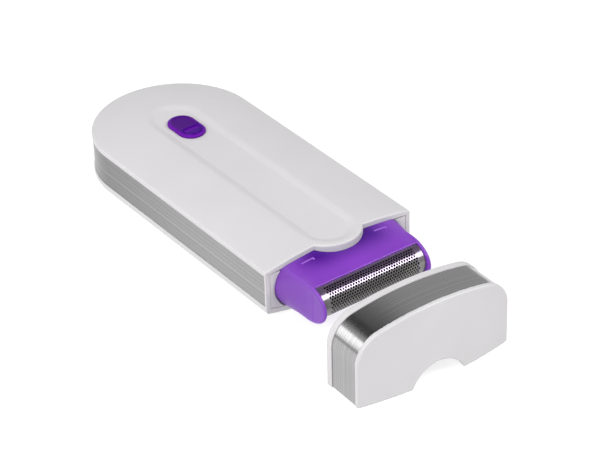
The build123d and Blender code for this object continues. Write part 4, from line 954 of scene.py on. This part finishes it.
def cap_outline(inset):
    """The cap's arch from its left foot to its right foot, with its outward directions."""
    radius = CAP_TOP_RADIUS - inset
    corner = CAP_CORNER_RADIUS - inset
    corner_x = HALF_WIDTH - CAP_CORNER_RADIUS
    centre_up = CAP_HEIGHT - CAP_TOP_RADIUS
    corner_up = centre_up + math.sqrt((radius - corner) ** 2 - corner_x**2)
    lean = math.atan2(corner_x, corner_up - centre_up)
    half = HALF_WIDTH - inset
    right = [(half, up, 1.0, 0.0) for up in np.linspace(CAP_BAND_BASE, corner_up, 5)[:-1]]
    for a in np.linspace(0, math.pi / 2 - lean, 24):
        nx, nup = math.cos(a), math.sin(a)
        right.append((corner_x + corner * nx, corner_up + corner * nup, nx, nup))
    for a in np.linspace(lean, 0, 24)[1:]:
        nx, nup = math.sin(a), math.cos(a)
        right.append((radius * nx, centre_up + radius * nup, nx, nup))
    left = [(-x, up, -nx, nup) for x, up, nx, nup in right[:-1]]
    return left + right[::-1]


def cap_arch(across, up, inset):
    """Distance outside the cap's arched outline, seen from its plate and drawn in by inset."""
    half = HALF_WIDTH - CAP_CORNER_RADIUS
    radius = CAP_TOP_RADIUS - CAP_CORNER_RADIUS
    centre_up = CAP_HEIGHT - CAP_TOP_RADIUS
    corner_rise = math.sqrt(radius**2 - half**2)
    across = np.abs(across)
    climb = up - centre_up
    straight = np.maximum(across - half, np.hypot(across, climb) - radius)
    corner = np.hypot(across - half, climb - corner_rise)
    at_corner = (climb > corner_rise) & (across * corner_rise > climb * half)
    return np.where(at_corner, corner, straight) - CAP_CORNER_RADIUS + inset


def cap_plate_field(x, y, z):
    """Negative inside the cap's notched upper plate, crowned at the mouth and flat at the end."""
    across = (x - CAP_X) * math.cos(CAP_YAW) + (y - CAP_FACE_Y) * math.sin(CAP_YAW)
    deep = (y - CAP_FACE_Y) * math.cos(CAP_YAW) - (x - CAP_X) * math.sin(CAP_YAW)
    crown = CAP_MOUTH_CROWN + (CAP_END_CROWN - CAP_MOUTH_CROWN) * z / CAP_HEIGHT
    face = -crown * (1 - (across / HALF_WIDTH) ** 2)
    plate = soft_max(cap_arch(across, z, 0), face - deep, CAP_RIM_ROUND)
    plate = soft_max(plate, deep - CAP_BAND_NEAR, 0.15)
    plate = soft_max(plate, -z, 0.2)
    hollow = np.maximum(cap_arch(across, z, CAP_WALL), face + WALL - deep)
    notch = np.hypot(across, z - NOTCH_DEPTH + NOTCH_RADIUS) - NOTCH_RADIUS
    return soft_max(plate, -np.minimum(hollow, notch), 0.3)


def build_cap_plate():
    """The field's box leaves a little room all round the plate."""
    reach = HALF_WIDTH + 1
    low = (CAP_X - reach, CAP_FACE_Y - CAP_MOUTH_CROWN - 1.2, -0.5)
    high = (CAP_X + reach, CAP_FACE_Y + CAP_BAND_NEAR + 1.2, CAP_HEIGHT + 0.5)
    field_piece(
        "cap_top_plate_skin", "cap", ["cap_top_plate"], WHITE,
        cap_plate_field, low, high)


def build_cap_band():
    """A closed ring of four corners, carried along the cap's arch and turned with the cap."""
    outline = cap_outline(BAND_INSET)
    ring = [
        (CAP_BAND_NEAR, 0.0), (CAP_BAND_FAR, 0.0), (CAP_BAND_FAR, BAND_THICKNESS),
        (CAP_BAND_NEAR, BAND_THICKNESS), (CAP_BAND_NEAR, 0.0)]
    points = []
    for across, up, nx, nup in outline:
        for deep, depth in ring:
            side = across - nx * depth
            x = CAP_X + side * math.cos(CAP_YAW) - deep * math.sin(CAP_YAW)
            y = CAP_FACE_Y + side * math.sin(CAP_YAW) + deep * math.cos(CAP_YAW)
            points.append((x, y, up - nup * depth))
    faces = grid_faces(len(outline), len(ring))
    for first in (0, len(points) - len(ring)):
        faces.append(tuple(range(first, first + 4)))
    band = piece("cap_band_skin", "cap", ["cap_band"], CAP_BAND, points, faces)
    split_edges(band)


build_top_cover()
build_head()
build_foil()
build_button()
build_side_band()
cad_copy("bottom_cover", "handle", WHITE, 0.3)
cad_copy("front_bezel", "handle", WHITE, 0.12, 2)
build_cap_plate()
cad_copy("cap_shell", "cap", WHITE, 0.4)
build_cap_band()


# ------------------------------------------------------------------ camera, floor, lights
def place_camera():
    """A long lens a little above and to the left of the head end."""
    azimuth = math.radians(-35.868)
    elevation = math.radians(33.45)
    roll = math.radians(-1.642)
    distance = 824.2
    target = Vector((13.0, -21.74, 0.0))
    right = Vector((math.cos(azimuth), math.sin(azimuth), 0))
    back = Vector((math.sin(azimuth) * math.cos(elevation),
                   -math.cos(azimuth) * math.cos(elevation), math.sin(elevation)))
    up = back.cross(right)
    rolled_right = right * math.cos(roll) + up * math.sin(roll)
    rolled_up = up * math.cos(roll) - right * math.sin(roll)
    turn = Matrix((rolled_right, rolled_up, back)).transposed().to_4x4()
    data = bpy.data.cameras.new("camera")
    data.lens = 147.0
    data.sensor_width = 36.0
    data.clip_start = 0.01
    camera = bpy.data.objects.new("camera", data)
    camera.matrix_world = Matrix.Translation((target + back * distance) * MM) @ turn
    bpy.context.scene.collection.objects.link(camera)
    bpy.context.scene.camera = camera


LIGHT_AIM_M = Vector((0, -0.03, 0))
LAMPS = (  # name, place and size in metres, power in watts
    ("key", (0.52, -0.62, 0.74), 0.34, 7),
    ("top", (-0.3, 0.1, 1.1), 0.8, 5),
    ("fill", (-0.95, -0.45, 0.8), 0.8, 13.6),
    ("rim", (-0.54, 0.7, 0.36), 0.5, 1.65),
)


def area_light(name, place_m, size_m, power):
    """A square lamp that looks at the object."""
    data = bpy.data.lights.new(name, "AREA")
    data.shape = "SQUARE"
    data.size = size_m
    data.energy = power
    lamp = bpy.data.objects.new(name, data)
    direction = LIGHT_AIM_M - Vector(place_m)
    turn = direction.to_track_quat("-Z", "Y").to_matrix().to_4x4()
    lamp.matrix_world = Matrix.Translation(place_m) @ turn
    bpy.context.scene.collection.objects.link(lamp)


WALL_TURN = (-0.15, 0.25)  # from the camera's side to behind the object, as a direction's Y
WALL_LIGHT = (0.5, 0.58)
CEILING_TURN = (0.645, 0.73)  # from the walls up to the ceiling, as a direction's Z
CEILING_LIGHT = (1.0, 0.05)


def studio_world():
    """Walls that are a little brighter behind the object, under a dark ceiling."""
    world = bpy.data.worlds.new("studio")
    world.use_nodes = True
    tree = world.node_tree
    source = tree.nodes.new("ShaderNodeTexCoord")
    split = tree.nodes.new("ShaderNodeSeparateXYZ")
    tree.links.new(source.outputs["Generated"], split.inputs["Vector"])
    walls = ramp(tree, split.outputs["Y"], *WALL_TURN, *WALL_LIGHT)
    ceiling = ramp(tree, split.outputs["Z"], *CEILING_TURN, *CEILING_LIGHT)
    background = tree.nodes["Background"]
    background.inputs["Color"].default_value = (1, 1, 1, 1)
    tree.links.new(multiply(tree, walls, ceiling), background.inputs["Strength"])
    return world


FLOOR_SIZE_M = 8
FLOOR_GREY = 0.25
FLOOR_GLOW = 0.8  # the photograph's ground is a cut-out white without shadows


def make_studio():
    """World, lamps and a pale floor."""
    scene = bpy.context.scene
    scene.view_settings.view_transform = "Standard"
    scene.world = studio_world()
    for lamp in LAMPS:
        area_light(*lamp)
    bpy.ops.mesh.primitive_plane_add(size=FLOOR_SIZE_M, location=(0, 0, 0))
    floor = bpy.context.object
    floor.name = "floor"
    material, _, shader = new_material("pale_floor")
    shader.inputs["Base Color"].default_value = (FLOOR_GREY, FLOOR_GREY, FLOOR_GREY, 1)
    shader.inputs["Roughness"].default_value = 0.9
    shader.inputs["Emission Color"].default_value = (1, 1, 1, 1)
    shader.inputs["Emission Strength"].default_value = FLOOR_GLOW
    floor.data.materials.append(material)


place_camera()
make_studio()
